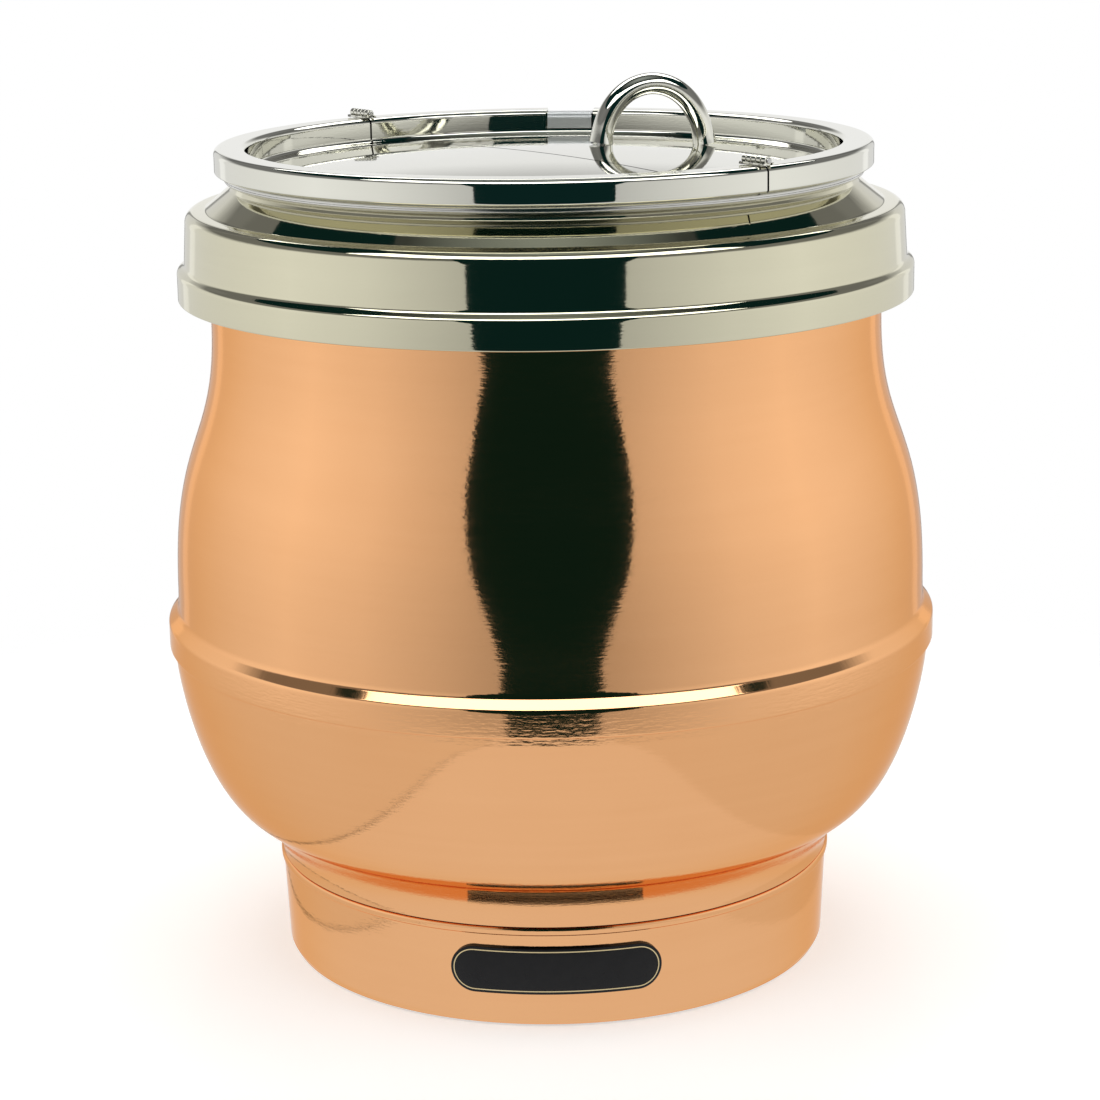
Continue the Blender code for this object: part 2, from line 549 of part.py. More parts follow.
def lid_half(name, side):
    """The lid pressing, without the half on the given side of the hinge line."""
    half = turned(name, lid_profile(), STEEL)
    reach, edge = 160.0, -SPLIT_GAP / 2.0
    low, high = sorted((side * edge, side * reach))
    tool = blocks(name + "_cutter", [((-reach, low, 340.0), (reach, high, 370.0))])
    place(tool, (0.0, 0.0, 0.0), (0.0, 0.0, HINGE_TURN))
    return boolean(half, tool)


def make_flap():
    flap = lid_half("lid_flap_half", -1.0)
    half = SLEEVE_LEN / 2.0
    notch = blocks("sleeve_notch", [((-half, 126.0, LID_LOW_Z + SHEET + GAP), (half, 148.0, 366.0))])
    boolean(flap, place(notch, (0.0, 0.0, 0.0), (0.0, 0.0, SLEEVE_TURN)))
    for i, (x, y, z) in enumerate(handle_feet()):
        boolean(flap, rod(f"flap_handle_hole_{i}", SCREW_HOLE_R, (x, y, z - 8.0), (x, y, z + 4.0)))
    return flap


def make_rim_sleeve():
    """A solid length of rim in the flap's notch, a little smaller than the rim in section."""
    low, high = LID_LOW_Z + SHEET + 2 * GAP, LID_TOP_Z - 1.5
    near, far = LID_IN_R + 0.5, LID_R - 0.6
    section = [(near, low), (near, high - 2.4), (near + 0.8, high - 0.7), (near + 2.6, high),
               (far - 2.6, high), (far - 0.8, high - 0.7), (far, high - 2.4), (far, low)]
    sleeve = turned("rim_sleeve", section, SATIN)
    half = SLEEVE_LEN / 2.0 - GAP
    keep = blocks("sleeve_length", [((-half, 120.0, 345.0), (half, 150.0, 370.0))])
    return boolean(sleeve, place(keep, (0.0, 0.0, 0.0), (0.0, 0.0, SLEEVE_TURN)), 'INTERSECT')


def hinge_spot(end):
    return Vector((cos(HINGE_TURN), sin(HINGE_TURN), 0.0)) * HINGE_MID_R * end + Vector((0.0, 0.0, HINGE_Z))


def knuckle_outline(side):
    """Barrel with a foot to one side, as (across, up) points about the hinge pin."""
    foot_meet = Vector((-sqrt(KNUCKLE_R ** 2 - KNUCKLE_FOOT_UP ** 2), -KNUCKLE_FOOT_UP))
    start, steps = -pi / 2.0, 9
    sweep = 3.0 * pi / 2.0 + foot_meet.angle(Vector((-1.0, 0.0)))
    outline = [(KNUCKLE_R * cos(start + sweep * i / steps), KNUCKLE_R * sin(start + sweep * i / steps))
               for i in range(steps + 1)]
    outline += [(-KNUCKLE_FOOT_OUT, -KNUCKLE_FOOT_UP), (-KNUCKLE_FOOT_OUT, -KNUCKLE_R)]
    return [(-side * x, y) for x, y in outline]


def make_hinge_leaf(name, side, end):
    """One half's knuckles; the two halves take alternate places along the pin."""
    stand = (pi / 2.0, 0.0, pi / 2.0 + HINGE_TURN)
    leaf = as_mesh(flat(name, knuckle_outline(side), 2.0 * LEAF_HALF, STEEL))
    place(leaf, hinge_spot(end), stand)
    spaces, first = [], (1 if side < 0 else 0)
    for i in range(first, KNUCKLES, 2):
        start = i * (KNUCKLE_LEN + KNUCKLE_GAP) - LEAF_HALF
        low = start - (KNUCKLE_GAP if i else 1.0)
        high = start + KNUCKLE_LEN + (KNUCKLE_GAP if i < KNUCKLES - 1 else 1.0)
        near, far = sorted((side * 2.2, -side * 2.6))
        spaces.append(((near, -2.6, low), (far, 2.6, high)))
    boolean(leaf, place(blocks(name + "_spaces", spaces), hinge_spot(end), stand))
    bore = rod(name + "_bore", PIN_R + PIN_CLEAR, (0.0, 0.0, -LEAF_HALF - 1.0), (0.0, 0.0, LEAF_HALF + 1.0),
               SMALL_SEG)
    boolean(leaf, place(bore, hinge_spot(end), stand))
    return leaf


def make_hinge_pin(name, end):
    head = LEAF_HALF + 0.15
    profile = [(0.0, head + 0.6), (0.8, head + 0.5), (1.3, head), (PIN_R, head), (PIN_R, -head),
               (1.3, -head), (0.8, -head - 0.5), (0.0, -head - 0.6)]
    pin = turned(name, profile, DULL_STEEL, SMALL_SEG)
    place(pin, hinge_spot(end), (pi / 2.0, 0.0, pi / 2.0 + HINGE_TURN))


def handle_feet():
    feet = []
    for side in (-1.0, 1.0):
        x = HANDLE_X + side * HANDLE_HALF_SPAN * cos(HANDLE_TURN)
        y = HANDLE_Y + side * HANDLE_HALF_SPAN * sin(HANDLE_TURN)
        feet.append((x, y, dome_z(sqrt(x * x + y * y))))
    return feet


def make_handle():
    """An arch of oval bar: a round tube bent in its own XZ plane, then widened along Y."""
    feet = handle_feet()
    left, right = feet[0][2] + HANDLE_LIFT, feet[1][2] + HANDLE_LIFT
    crest = dome_z(sqrt(HANDLE_X ** 2 + HANDLE_Y ** 2)) + HANDLE_RISE
    span, shoulder = HANDLE_HALF_SPAN, HANDLE_HALF_SPAN - HANDLE_LEAN
    pull = 4.0 / 3.0
    arch = bezier((-span, left), (-shoulder, left + (crest - left) * pull),
                  (shoulder, right + (crest - right) * pull), (span, right), 14)
    bar = tube("lid_handle", [(x, 0.0, z) for x, z in arch], HANDLE_THICK / 2.0, STEEL)
    bar.scale = (1.0, HANDLE_WIDE / HANDLE_THICK, 1.0)
    handle = as_mesh(bar)
    handle.data.transform(handle.matrix_world)
    place(handle, (HANDLE_X, HANDLE_Y, 0.0), (0.0, 0.0, HANDLE_TURN))
    handle.scale = (1.0, 1.0, 1.0)
    for i, (x, y, z) in enumerate(feet):
        boolean(handle, rod(f"handle_bore_{i}", SCREW_R + 0.2, (x, y, z - 3.0), (x, y, z + 8.0)))
    return handle


def make_handle_screws():
    shank, seat = SCREW_R - 0.1, -SHEET - GAP - 0.1
    profile = [(0.0, 7.0), (shank, 7.0), (shank, seat), (4.4, seat), (4.4, seat - 0.8), (3.2, seat - 1.6),
               (0.0, seat - 1.8)]
    return [place(turned(f"handle_screw_{i + 1}", profile, DULL_STEEL, SCREW_SEG), spot)
            for i, spot in enumerate(handle_feet())]


def make_lid():
    lid_half("lid_fixed_half", 1.0)
    moving = [make_flap(), make_rim_sleeve(), make_handle()] + make_handle_screws()
    for tag, end in (("right", 1.0), ("left", -1.0)):
        make_hinge_leaf(f"fixed_leaf_{tag}", -1.0, end)
        moving.append(make_hinge_leaf(f"flap_leaf_{tag}", 1.0, end))
        make_hinge_pin(f"hinge_pin_{tag}", end)
    pivot("flap_pivot", (0.0, 0.0, HINGE_Z), (0.0, 0.0, HINGE_TURN), moving)


def main():
    clear_scene()
    make_base_ring()
    make_lower_bowl()
    make_upper_shell()
    bent_plate("badge_plate", FRONT, (BADGE_W, BADGE_H), BADGE_H / 2.0, BADGE_Z, BADGE_T, BLACK)
    make_base_plate()
    make_feet()
    make_pillars_and_screws()
    make_controls()
    make_lamp_and_inlet()
    make_water_pan()
    make_heating_element()
    make_heat_spreader()
    make_sensor()
    make_adaptor_ring()
    make_soup_pot()
    make_lid()


main()
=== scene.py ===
"""Soup kettle looks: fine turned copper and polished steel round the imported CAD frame."""
from math import cos, hypot, pi, radians, sin, tan

import bmesh
import bpy
from mathutils import Euler, Matrix, Vector


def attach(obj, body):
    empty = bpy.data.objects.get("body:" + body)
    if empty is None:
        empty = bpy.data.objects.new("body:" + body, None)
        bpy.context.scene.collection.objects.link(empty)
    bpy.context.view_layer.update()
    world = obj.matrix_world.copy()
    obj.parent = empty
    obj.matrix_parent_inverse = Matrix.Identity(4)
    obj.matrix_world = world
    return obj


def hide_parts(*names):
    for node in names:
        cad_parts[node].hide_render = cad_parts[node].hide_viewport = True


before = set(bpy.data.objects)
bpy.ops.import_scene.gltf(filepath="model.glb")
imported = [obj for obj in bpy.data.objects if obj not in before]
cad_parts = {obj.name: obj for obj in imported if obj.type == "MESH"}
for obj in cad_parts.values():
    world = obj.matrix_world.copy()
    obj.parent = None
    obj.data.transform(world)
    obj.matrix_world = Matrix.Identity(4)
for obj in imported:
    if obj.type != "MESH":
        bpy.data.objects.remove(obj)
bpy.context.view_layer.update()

MM = 0.001
TURNS = 192                    # segments round the large turned pieces
KNOB_TURNS, GLAND_TURNS, LAMP_TURNS, FOOT_TURNS, PIN_TURNS = 72, 64, 48, 40, 32
TINY = 1e-6                    # a length below this counts as zero
CREASE, HANDLE_CREASE = 32.0, 60.0   # degrees between faces past which an edge is shaded sharp
SHEET = 1.2                    # metal thickness
GAP = 0.3                      # gap between neighbouring pieces
HOLD = 0.25                    # run of flat wall kept beside a rounded corner
BASE_LOW_Z, BASE_TOP_Z, BASE_LOW_R, BASE_TOP_R = 1.0, 46.0, 122.0, 124.0
LIP_R = 106.0                  # inner edge of the base's top and of the bowl's foot
BOWL_TOP_Z, BOWL_TOP_R = 150.0, 168.4
SKIRT_Z, BEAD_R = 143.5, 170.9
SHOULDER_R, SHOULDER_Z = 166.2, 169.0
NECK_R, NECK_Z = 146.8, 285.0
FLANGE_Z, FLANGE_R = 305.2, 158.6
RING_R, RING_LOW_Z, RING_WALL_R, RING_TOP_Z = 160.7, 297.5, 156.6, 336.0
RING_NECK_R, RING_NECK_Z = 135.8, 347.5
POT_R, POT_FLOOR_Z, POT_RIM_R, POT_RIM_Z = 131.5, 135.0, 139.0, 351.5
LID_R, LID_IN_R, LID_LOW_Z, LID_TOP_Z = 143.0, 129.0, 351.8, 362.3
LID_CROWN_Z, LID_DOME_R = 356.5, 1500.0
SPLIT_GAP = 1.0                # between the lid's two halves
HINGE_TURN = radians(-51.34)   # the hinge line's direction, seen from above
HINGE_Z, HINGE_MID_R = 364.5, 136.0
KNUCKLE_R, PIN_R, PIN_HEAD_R, KNUCKLE_BORE = 1.9, 0.8, 1.3, 0.1
KNUCKLES, KNUCKLE_LEN, KNUCKLE_GAP = 5, 2.6, 0.25
LEAF_HALF = (KNUCKLES * KNUCKLE_LEN + (KNUCKLES - 1) * KNUCKLE_GAP) / 2.0
LEAF_NEAR, LEAF_STRIP, LEAF_FAR, LEAF_TOP, LEAF_EDGE = 0.9, 2.2, 3.2, -0.9, 0.12
PIN_HEAD_GAP, PIN_HEAD_LONG = 0.15, 0.6
SLEEVE_TURN, SLEEVE_LEN = radians(-5.5), 22.5
NOTCH_IN_R, NOTCH_OUT_R, NOTCH_TOP_Z = 126.0, 148.0, 368.0
HANDLE_X, HANDLE_Y, HANDLE_TURN = 49.0, 44.0, radians(12.0)
HANDLE_HALF_SPAN, HANDLE_LEAN, HANDLE_RISE = 23.9, 4.0, 26.8
HANDLE_THICK, HANDLE_WIDE, HANDLE_LIFT = 9.6, 12.0, 0.7
HANDLE_FLARE, FLARE_STEPS = 0.12, 5.0
BADGE_W, BADGE_H, BADGE_Z, BADGE_T = 91.0, 21.0, 26.5, 1.4
KEYLINE_INSET, KEYLINE_WIDE, KEYLINE_LIFT = 1.3, 0.45, 0.08
PANEL_W, PANEL_H, PANEL_END_R, PANEL_T, PANEL_EDGE = 108.0, 34.0, 8.0, 2.0, 0.6
KNOB_Z, KNOB_R, KNOB_LEN, KNOB_STAND, GRIPS = 24.0, 14.0, 14.0, 3.9, 20
DIAL_R, DIAL_SQUASH, DIAL_MARKS, DIAL_SWEEP = 18.3, 0.8, 10, 270.0
REAR, FRONT = 90.0, 270.0      # degrees from +X
LAMP_WAY, INLET_WAY = REAR + 17.0, REAR - 18.0
FOOT_RING_R, FOOT_WAYS = 96.0, (45.0, 135.0, 225.0, 315.0)


# ---------------------------------------------------------------- outlines

def bezier(p0, p1, p2, p3, count):
    """Points along one cubic curve, both ends included."""
    points = []
    for i in range(count + 1):
        t = i / count
        s = 1.0 - t
        w = (s ** 3, 3 * s * s * t, 3 * s * t * t, t ** 3)
        points.append(tuple(sum(a * p[k] for a, p in zip(w, (p0, p1, p2, p3))) for k in (0, 1)))
    return points


def filleted(corners, steps=8):
    """A line through (r, z, radius) corners, each rounded to its radius."""
    line = []
    for i, (r, z, radius) in enumerate(corners):
        here = Vector((r, z))
        if radius <= 0.0 or i in (0, len(corners) - 1):
            line.append((r, z))
            continue
        before = Vector(corners[i - 1][:2]) - here
        after = Vector(corners[i + 1][:2]) - here
        half = before.angle(after) / 2.0
        reach = min(radius / tan(half), before.length * 0.49, after.length * 0.49)
        start, end = here + before.normalized() * reach, here + after.normalized() * reach
        centre = here + (before.normalized() + after.normalized()).normalized() * (reach / cos(half))
        a, b = start - centre, end - centre
        sweep = a.angle_signed(b)
        if before.length - reach > HOLD * 4:
            line.append(tuple(start + before.normalized() * HOLD))
        for k in range(steps + 1):
            turn = -sweep * k / steps
            line.append((centre.x + a.x * cos(turn) - a.y * sin(turn),
                         centre.y + a.x * sin(turn) + a.y * cos(turn)))
        if after.length - reach > HOLD * 4:
            line.append(tuple(end + after.normalized() * HOLD))
    return line


def inset(points, thick):
    """The same line moved inwards by the sheet's thickness, in reverse order."""
    moved = []
    for i, (r, z) in enumerate(points):
        r0, z0 = points[max(i - 1, 0)]
        r1, z1 = points[min(i + 1, len(points) - 1)]
        length = hypot(r1 - r0, z1 - z0)
        moved.append((r + (z1 - z0) / length * thick, z - (r1 - r0) / length * thick))
    return moved[::-1]


def base_wall_r(z):
    """Outer radius of the tapered base at a height."""
    share = (z - BASE_LOW_Z) / (BASE_TOP_Z - BASE_LOW_Z)
    return BASE_LOW_R + (BASE_TOP_R - BASE_LOW_R) * share


def dome_z(r):
    """Height of the lid's dished top at a radius."""
    return LID_CROWN_Z - r * r / (2.0 * LID_DOME_R)


# ---------------------------------------------------------------- meshes

def finish_piece(name, work, mat, body, stands_for=(), crease=CREASE):
    """Make a smooth-shaded object that rides on a body and stands for the named CAD nodes."""
    bmesh.ops.recalc_face_normals(work, faces=work.faces)
    mesh = bpy.data.meshes.new(name)
    work.to_mesh(mesh)
    work.free()
    mesh.shade_smooth()
    mesh.set_sharp_from_angle(angle=radians(crease))
    mesh.materials.append(mat)
    obj = bpy.data.objects.new(name, mesh)
    bpy.context.scene.collection.objects.link(obj)
    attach(obj, body)
    if stands_for:
        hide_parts(*stands_for)
    return obj


def spin(work, profile, turns=TURNS, matrix=None):
    """Add a closed turned body from (r, z) points; a profile may start and end on the axis."""
    rings = []
    for r, z in profile:
        if r < TINY:
            rings.append([work.verts.new((0.0, 0.0, z * MM))])
        else:
            rings.append([work.verts.new((r * MM * cos(2 * pi * k / turns), r * MM * sin(2 * pi * k / turns),
                                          z * MM)) for k in range(turns)])
    pairs = list(zip(rings, rings[1:]))
    if profile[0][0] > TINY or profile[-1][0] > TINY:
        pairs.append((rings[-1], rings[0]))
    for a, b in pairs:
        for k in range(turns):
            n = (k + 1) % turns
            if len(a) == 1 and len(b) == 1:
                break
            if len(a) == 1:
                work.faces.new((a[0], b[n], b[k]))
            elif len(b) == 1:
                work.faces.new((a[k], a[n], b[0]))
            else:
                work.faces.new((a[k], a[n], b[n], b[k]))
    if matrix:
        bmesh.ops.transform(work, matrix=matrix, verts=[v for ring in rings for v in ring])


def turned(name, profile, mat, body, stands_for=(), turns=TURNS, matrix=None):
    """One turned piece made from a closed (r, z) section."""
    work = bmesh.new()
    spin(work, profile, turns, matrix)
    finish_piece(name, work, mat, body, stands_for)


def radial_matrix(way):
    """Turns +Z outwards in one direction, at the knob's height."""
    aim = Euler((0.0, pi / 2.0, radians(way))).to_matrix().to_4x4()
    return Matrix.Translation((0.0, 0.0, KNOB_Z * MM)) @ aim


def hinge_matrix(end):
    """Lays +Z along the hinge line, at its right (+1) or left (-1) hinge."""
    spot = Vector((cos(HINGE_TURN), sin(HINGE_TURN), 0.0)) * HINGE_MID_R * end
    spot += Vector((0.0, 0.0, HINGE_Z))
    stand = Euler((pi / 2.0, 0.0, pi / 2.0 + HINGE_TURN)).to_matrix().to_4x4()
    return Matrix.Translation(spot * MM) @ stand


def add_box(work, low, high, matrix=None, edge=0.0):
    """A box between two corners, with its edges rounded by edge."""
    low, high = Vector(low) * MM, Vector(high) * MM
    made = bmesh.ops.create_cube(work, size=1.0, matrix=(matrix or Matrix()) @
                                 Matrix.Translation((low + high) / 2.0) @
                                 Matrix.Diagonal((*(high - low), 1.0)))
    if edge:
        edges = list(dict.fromkeys(e for v in made["verts"] for e in v.link_edges))
        bmesh.ops.bevel(work, geom=edges, offset=edge * MM, segments=3, affect='EDGES', profile=0.5)


def sweep_rings(work, rings):
    """Skin a row of closed rings and cap both ends."""
    count = len(rings[0])
    for a, b in zip(rings, rings[1:]):
        for k in range(count):
            work.faces.new((a[k], a[(k + 1) % count], b[(k + 1) % count], b[k]))
    work.faces.new(rings[0])
    work.faces.new(rings[-1])


# ---------------------------------------------------------------- materials

class Nodes:
    """A node tree with short calls for the nodes used here."""

    def __init__(self, tree):
        self.tree = tree

    def node(self, kind, links=(), **settings):
        """Add a node; settings are its properties, or its inputs with _ for a space."""
        node = self.tree.nodes.new(kind)
        for key, value in settings.items():
            if key in node.bl_rna.properties:
                setattr(node, key, value)
            else:
                node.inputs[key.replace("_", " ")].default_value = value
        for key, source in dict(links).items():
            self.tree.links.new(source, node.inputs[key])
        return node

    def math(self, operation, a, b=0.5):
        node = self.node("ShaderNodeMath", operation=operation)
        for slot, value in enumerate((a, b)):
            if isinstance(value, float):
                node.inputs[slot].default_value = value
            else:
                self.tree.links.new(value, node.inputs[slot])
        return node.outputs[0]

    def place(self):
        """Object coordinates."""
        return self.node("ShaderNodeTexCoord").outputs["Object"]

    def flat_place(self, place):
        """The place with its height left out, and its distance from the axis."""
        flat = self.node("ShaderNodeVectorMath", {0: place}, operation='MULTIPLY')
        flat.inputs[1].default_value = (1.0, 1.0, 0.0)
        radius = self.node("ShaderNodeVectorMath", {0: flat.outputs[0]}, operation='LENGTH')
        return flat.outputs[0], radius.outputs["Value"]


class Look(Nodes):
    """A Principled material; inputs are constants for its sockets."""

    def __init__(self, name, **inputs):
        self.mat = bpy.data.materials.new(name)
        self.mat.use_nodes = True
        super().__init__(self.mat.node_tree)
        self.shader = self.tree.nodes["Principled BSDF"]
        for key, value in inputs.items():
            socket = self.shader.inputs[key.replace("_", " ")]
            socket.default_value = (*value, 1.0) if isinstance(value, tuple) else value

    def turned_coords(self, round_scale, height_scale):
        """Coordinates that run round the kettle's axis and up or out from it, without a seam."""
        place = self.place()
        height = self.node("ShaderNodeSeparateXYZ", {"Vector": place}).outputs["Z"]
        flat, radius = self.flat_place(place)
        way = self.node("ShaderNodeVectorMath", {0: flat}, operation='NORMALIZE')
        spread = self.node("ShaderNodeVectorMath", {0: way.outputs[0]}, operation='SCALE', Scale=round_scale)
        along = self.math('MULTIPLY', self.math('ADD', height, radius), height_scale)
        rise = self.node("ShaderNodeCombineXYZ", {"Z": along})
        return self.node("ShaderNodeVectorMath", {0: spread.outputs[0], 1: rise.outputs[0]},
                         operation='ADD').outputs[0]

    def noise(self, scale, detail=4.0, roughness=0.55, vector=None):
        links = {"Vector": vector or self.place()}
        return self.node("ShaderNodeTexNoise", links, Scale=scale, Detail=detail,
                         Roughness=roughness).outputs["Fac"]

    def turned_noise(self, round_scale, height_scale, detail=3.0, roughness=0.6):
        return self.noise(1.0, detail, roughness, self.turned_coords(round_scale, height_scale))

    def ramp(self, factor, low, high, into):
        """Spread a 0..1 factor between two numbers or colours and plug it into the shader."""
        if isinstance(low, tuple):
            node = self.node("ShaderNodeMix", {"Factor": factor}, data_type='RGBA')
            node.inputs[6].default_value = (*low, 1.0)
            node.inputs[7].default_value = (*high, 1.0)
            out = node.outputs[2]
        else:
            out = self.node("ShaderNodeMapRange", {"Value": factor}, To_Min=low, To_Max=high).outputs[0]
        self.tree.links.new(out, self.shader.inputs[into])

    def bump(self, height, strength, distance):
        node = self.node("ShaderNodeBump", {"Height": height}, Strength=strength, Distance=distance)
        self.tree.links.new(node.outputs[0], self.shader.inputs["Normal"])


def spun_metal(name, light, dark, smooth, rough, lines, line_bump, **more):
    """Polished sheet with fine lines left by spinning, faint smears and slow colour drift."""
    look = Look(name, Metallic=1.0, **more)
    fine = look.turned_noise(12.0, lines, detail=2.0, roughness=0.5)
    bands = look.math('ADD', look.turned_noise(1.2, 160.0))
    drift = look.math('MULTIPLY', look.noise(9.0, detail=3.0, roughness=0.6), bands)
    look.ramp(drift, light, dark, "Base Color")
    smears = look.math('MULTIPLY', fine, look.turned_noise(3.0, 40.0))
    look.ramp(smears, smooth, rough, "Roughness")
    streaks = look.turned_noise(50.0, lines, detail=2.0, roughness=0.5)
    look.bump(look.math('ADD', fine, streaks), line_bump, 0.08 * MM)
    return look.mat


def moulded(name, colour, rough, grain=0.15, scale=900.0):
    """Plastic or rubber with a fine moulded grain."""
    look = Look(name)
    speck = look.noise(scale, detail=3.0, roughness=0.6)
    look.ramp(speck, colour, tuple(c * 1.25 + 0.002 for c in colour), "Base Color")
    look.ramp(look.noise(60.0), rough - 0.06, rough + 0.08, "Roughness")
    look.bump(speck, grain, 0.15 * MM)
    return look.mat


def plated(name, light, dark, rough):
    """Metal with a cloudy, faintly uneven surface."""
    look = Look(name, Metallic=1.0)
    cloud = look.noise(160.0, roughness=0.6)
    look.ramp(cloud, light, dark, "Base Color")
    look.ramp(look.noise(420.0, detail=3.0), rough - 0.08, rough + 0.1, "Roughness")
    look.bump(cloud, 0.1, 0.1 * MM)
    return look.mat


def enamel(name, colour):
    """Smooth glossy paint with a slight ripple."""
    look = Look(name, Specular_IOR_Level=0.22)
    look.ramp(look.noise(220.0, detail=3.0), colour, tuple(c + 0.006 for c in colour), "Base Color")
    look.ramp(look.noise(90.0), 0.16, 0.28, "Roughness")
    look.bump(look.noise(300.0, detail=2.0), 0.04, 0.1 * MM)
    return look.mat


def amber_lens(name):
    """Cloudy amber plastic that lets some light through."""
    look = Look(name, Transmission_Weight=0.35, IOR=1.5)
    look.ramp(look.noise(200.0, detail=2.0), (0.85, 0.25, 0.03), (0.95, 0.36, 0.06), "Base Color")
    look.ramp(look.noise(300.0, detail=2.0), 0.08, 0.16, "Roughness")
    return look.mat


COPPER = spun_metal("copper_spun", (0.92, 0.50, 0.245), (0.86, 0.445, 0.205), 0.05, 0.17, 900.0, 0.32,
                    Specular_Tint=(0.95, 0.70, 0.50))
RING_STEEL = spun_metal("steel_ring", (0.68, 0.65, 0.49), (0.60, 0.575, 0.43), 0.03, 0.12, 1100.0, 0.14)
LID_STEEL = spun_metal("steel_mirror", (0.755, 0.75, 0.675), (0.69, 0.685, 0.61), 0.02, 0.09, 1200.0, 0.06)
POT_STEEL = spun_metal("steel_pot", (0.66, 0.65, 0.62), (0.58, 0.58, 0.55), 0.16, 0.34, 700.0, 0.2)
PAN_STEEL = spun_metal("steel_pan", (0.60, 0.60, 0.58), (0.52, 0.52, 0.50), 0.22, 0.40, 500.0, 0.2)
SATIN_STEEL = plated("steel_satin", (0.56, 0.58, 0.58), (0.50, 0.52, 0.52), 0.46)
PIN_STEEL = plated("steel_pin", (0.55, 0.55, 0.53), (0.45, 0.45, 0.44), 0.25)
ZINC = plated("zinc_plate", (0.60, 0.61, 0.63), (0.50, 0.51, 0.54), 0.38)
ALUMINIUM = plated("aluminium_mill", (0.70, 0.71, 0.72), (0.62, 0.63, 0.64), 0.42)
BRASS = plated("brass_drawn", (0.72, 0.53, 0.24), (0.62, 0.44, 0.18), 0.3)
GOLD = plated("gold_line", (0.75, 0.62, 0.36), (0.68, 0.54, 0.30), 0.3)
BLACK_ENAMEL = enamel("black_enamel", (0.004, 0.004, 0.005))
BLACK_PLASTIC = moulded("black_plastic", (0.015, 0.015, 0.016), 0.38)
CREAM_PLASTIC = moulded("cream_plastic", (0.62, 0.56, 0.42), 0.45)
WHITE_MARK = moulded("dial_marks", (0.75, 0.75, 0.72), 0.5)
RUBBER = moulded("foot_rubber", (0.018, 0.018, 0.018), 0.75, 0.4, 1400.0)
AMBER = amber_lens("amber_lens")


# ---------------------------------------------------------------- body

def make_base_ring():
    """Tapered base with a small rolled shoulder above and a tucked-in foot below."""
    section = filleted([(LIP_R, BASE_TOP_Z, 0), (124.9, BASE_TOP_Z, 1.4), (124.9, 42.9, 1.2),
                        (123.9, 42.4, 0.6), (base_wall_r(24.0), 24.0, 0), (base_wall_r(4.0), 4.0, 3.0),
                        (120.6, BASE_LOW_Z, 1.2), (119.4, BASE_LOW_Z, 0.5), (119.6, 4.0, 2.0),
                        (base_wall_r(24.0) - SHEET, 24.0, 0), (122.7, BASE_TOP_Z - SHEET, 0.8),
                        (LIP_R, BASE_TOP_Z - SHEET, 0)])
    turned("base_ring_skin", section, COPPER, "body", ["base_ring"])


def make_lower_bowl():
    """Round bowl that flares down on to the base."""
    side = bezier((BOWL_TOP_R, 140.0), (BOWL_TOP_R, 130.0), (159.5, 77.5), (137.0, 67.0), 48)
    flare = bezier((137.0, 67.0), (129.5, 59.0), (124.4, 54.5), (124.2, BASE_TOP_Z + GAP), 20)[1:]
    outer = [(BOWL_TOP_R, BOWL_TOP_Z)] + side + flare
    inner = inset(outer, SHEET)
    low = BASE_TOP_Z + GAP
    inner[0] = (inner[1][0] - 0.4, low + SHEET)
    section = outer + [(LIP_R, low), (LIP_R, low + SHEET)] + inner
    turned("lower_bowl_skin", section, COPPER, "body", ["lower_bowl"])


def make_upper_shell():
    """Waisted shell: top flange, curved side, raised bead and a skirt that laps the bowl."""
    flange = filleted([(FLANGE_R, FLANGE_Z + SHEET, 0), (FLANGE_R, FLANGE_Z, 0.3),
                       (NECK_R, FLANGE_Z, 4.0), (NECK_R, NECK_Z, 0)])[:-1]
    side = bezier((NECK_R, NECK_Z), (NECK_R + 0.4, 232.0), (SHOULDER_R, 238.0), (SHOULDER_R, SHOULDER_Z), 64)
    bead = filleted([(SHOULDER_R, SHOULDER_Z, 0), (SHOULDER_R + 0.3, 159.6, 4.0), (BEAD_R, 155.0, 2.6),
                     (BEAD_R, SKIRT_Z, 0.7), (BOWL_TOP_R + 0.4, SKIRT_Z, 0)], 12)[1:]
    inner = filleted([(BOWL_TOP_R + 0.4, SKIRT_Z, 0), (BOWL_TOP_R + 0.4, 152.0, 3.0),
                      (SHOULDER_R - SHEET, 161.5, 4.0), (SHOULDER_R - SHEET, SHOULDER_Z, 0)])[1:]
    inner += inset(side, SHEET)[1:]
    inner += filleted([(NECK_R - SHEET, NECK_Z + 2.0, 0), (NECK_R - SHEET, FLANGE_Z + SHEET, 4.6),
                       (FLANGE_R, FLANGE_Z + SHEET, 0)])[:-1]
    turned("upper_shell_skin", flange + side + bead + inner, COPPER, "body", ["upper_shell"])


def plate_columns(width, height, end_r, steps=14, runs=24):
    """(x, y) of a round-cornered plate's upper edge, left to right; its lower edge mirrors it."""
    corner = width / 2.0 - end_r
    ends = [(corner + end_r * cos(pi / 2.0 * i / steps), end_r * sin(pi / 2.0 * i / steps))
            for i in range(steps + 1)]
    xs = [(-x, y) for x, y in ends]
    xs += [(-corner + 2.0 * corner * i / runs, end_r) for i in range(1, runs)]
    xs += ends[::-1]
    return [(x, height / 2.0 - end_r + y) for x, y in xs]


def on_base(x, y, lift, way, z_mid):
    """A point of a flat drawing laid on the base's wall, standing off it by lift."""
    z = z_mid + y
    r = base_wall_r(z) + lift
    turn = radians(way) + x / BASE_TOP_R
    return Vector((r * cos(turn), r * sin(turn), z)) * MM


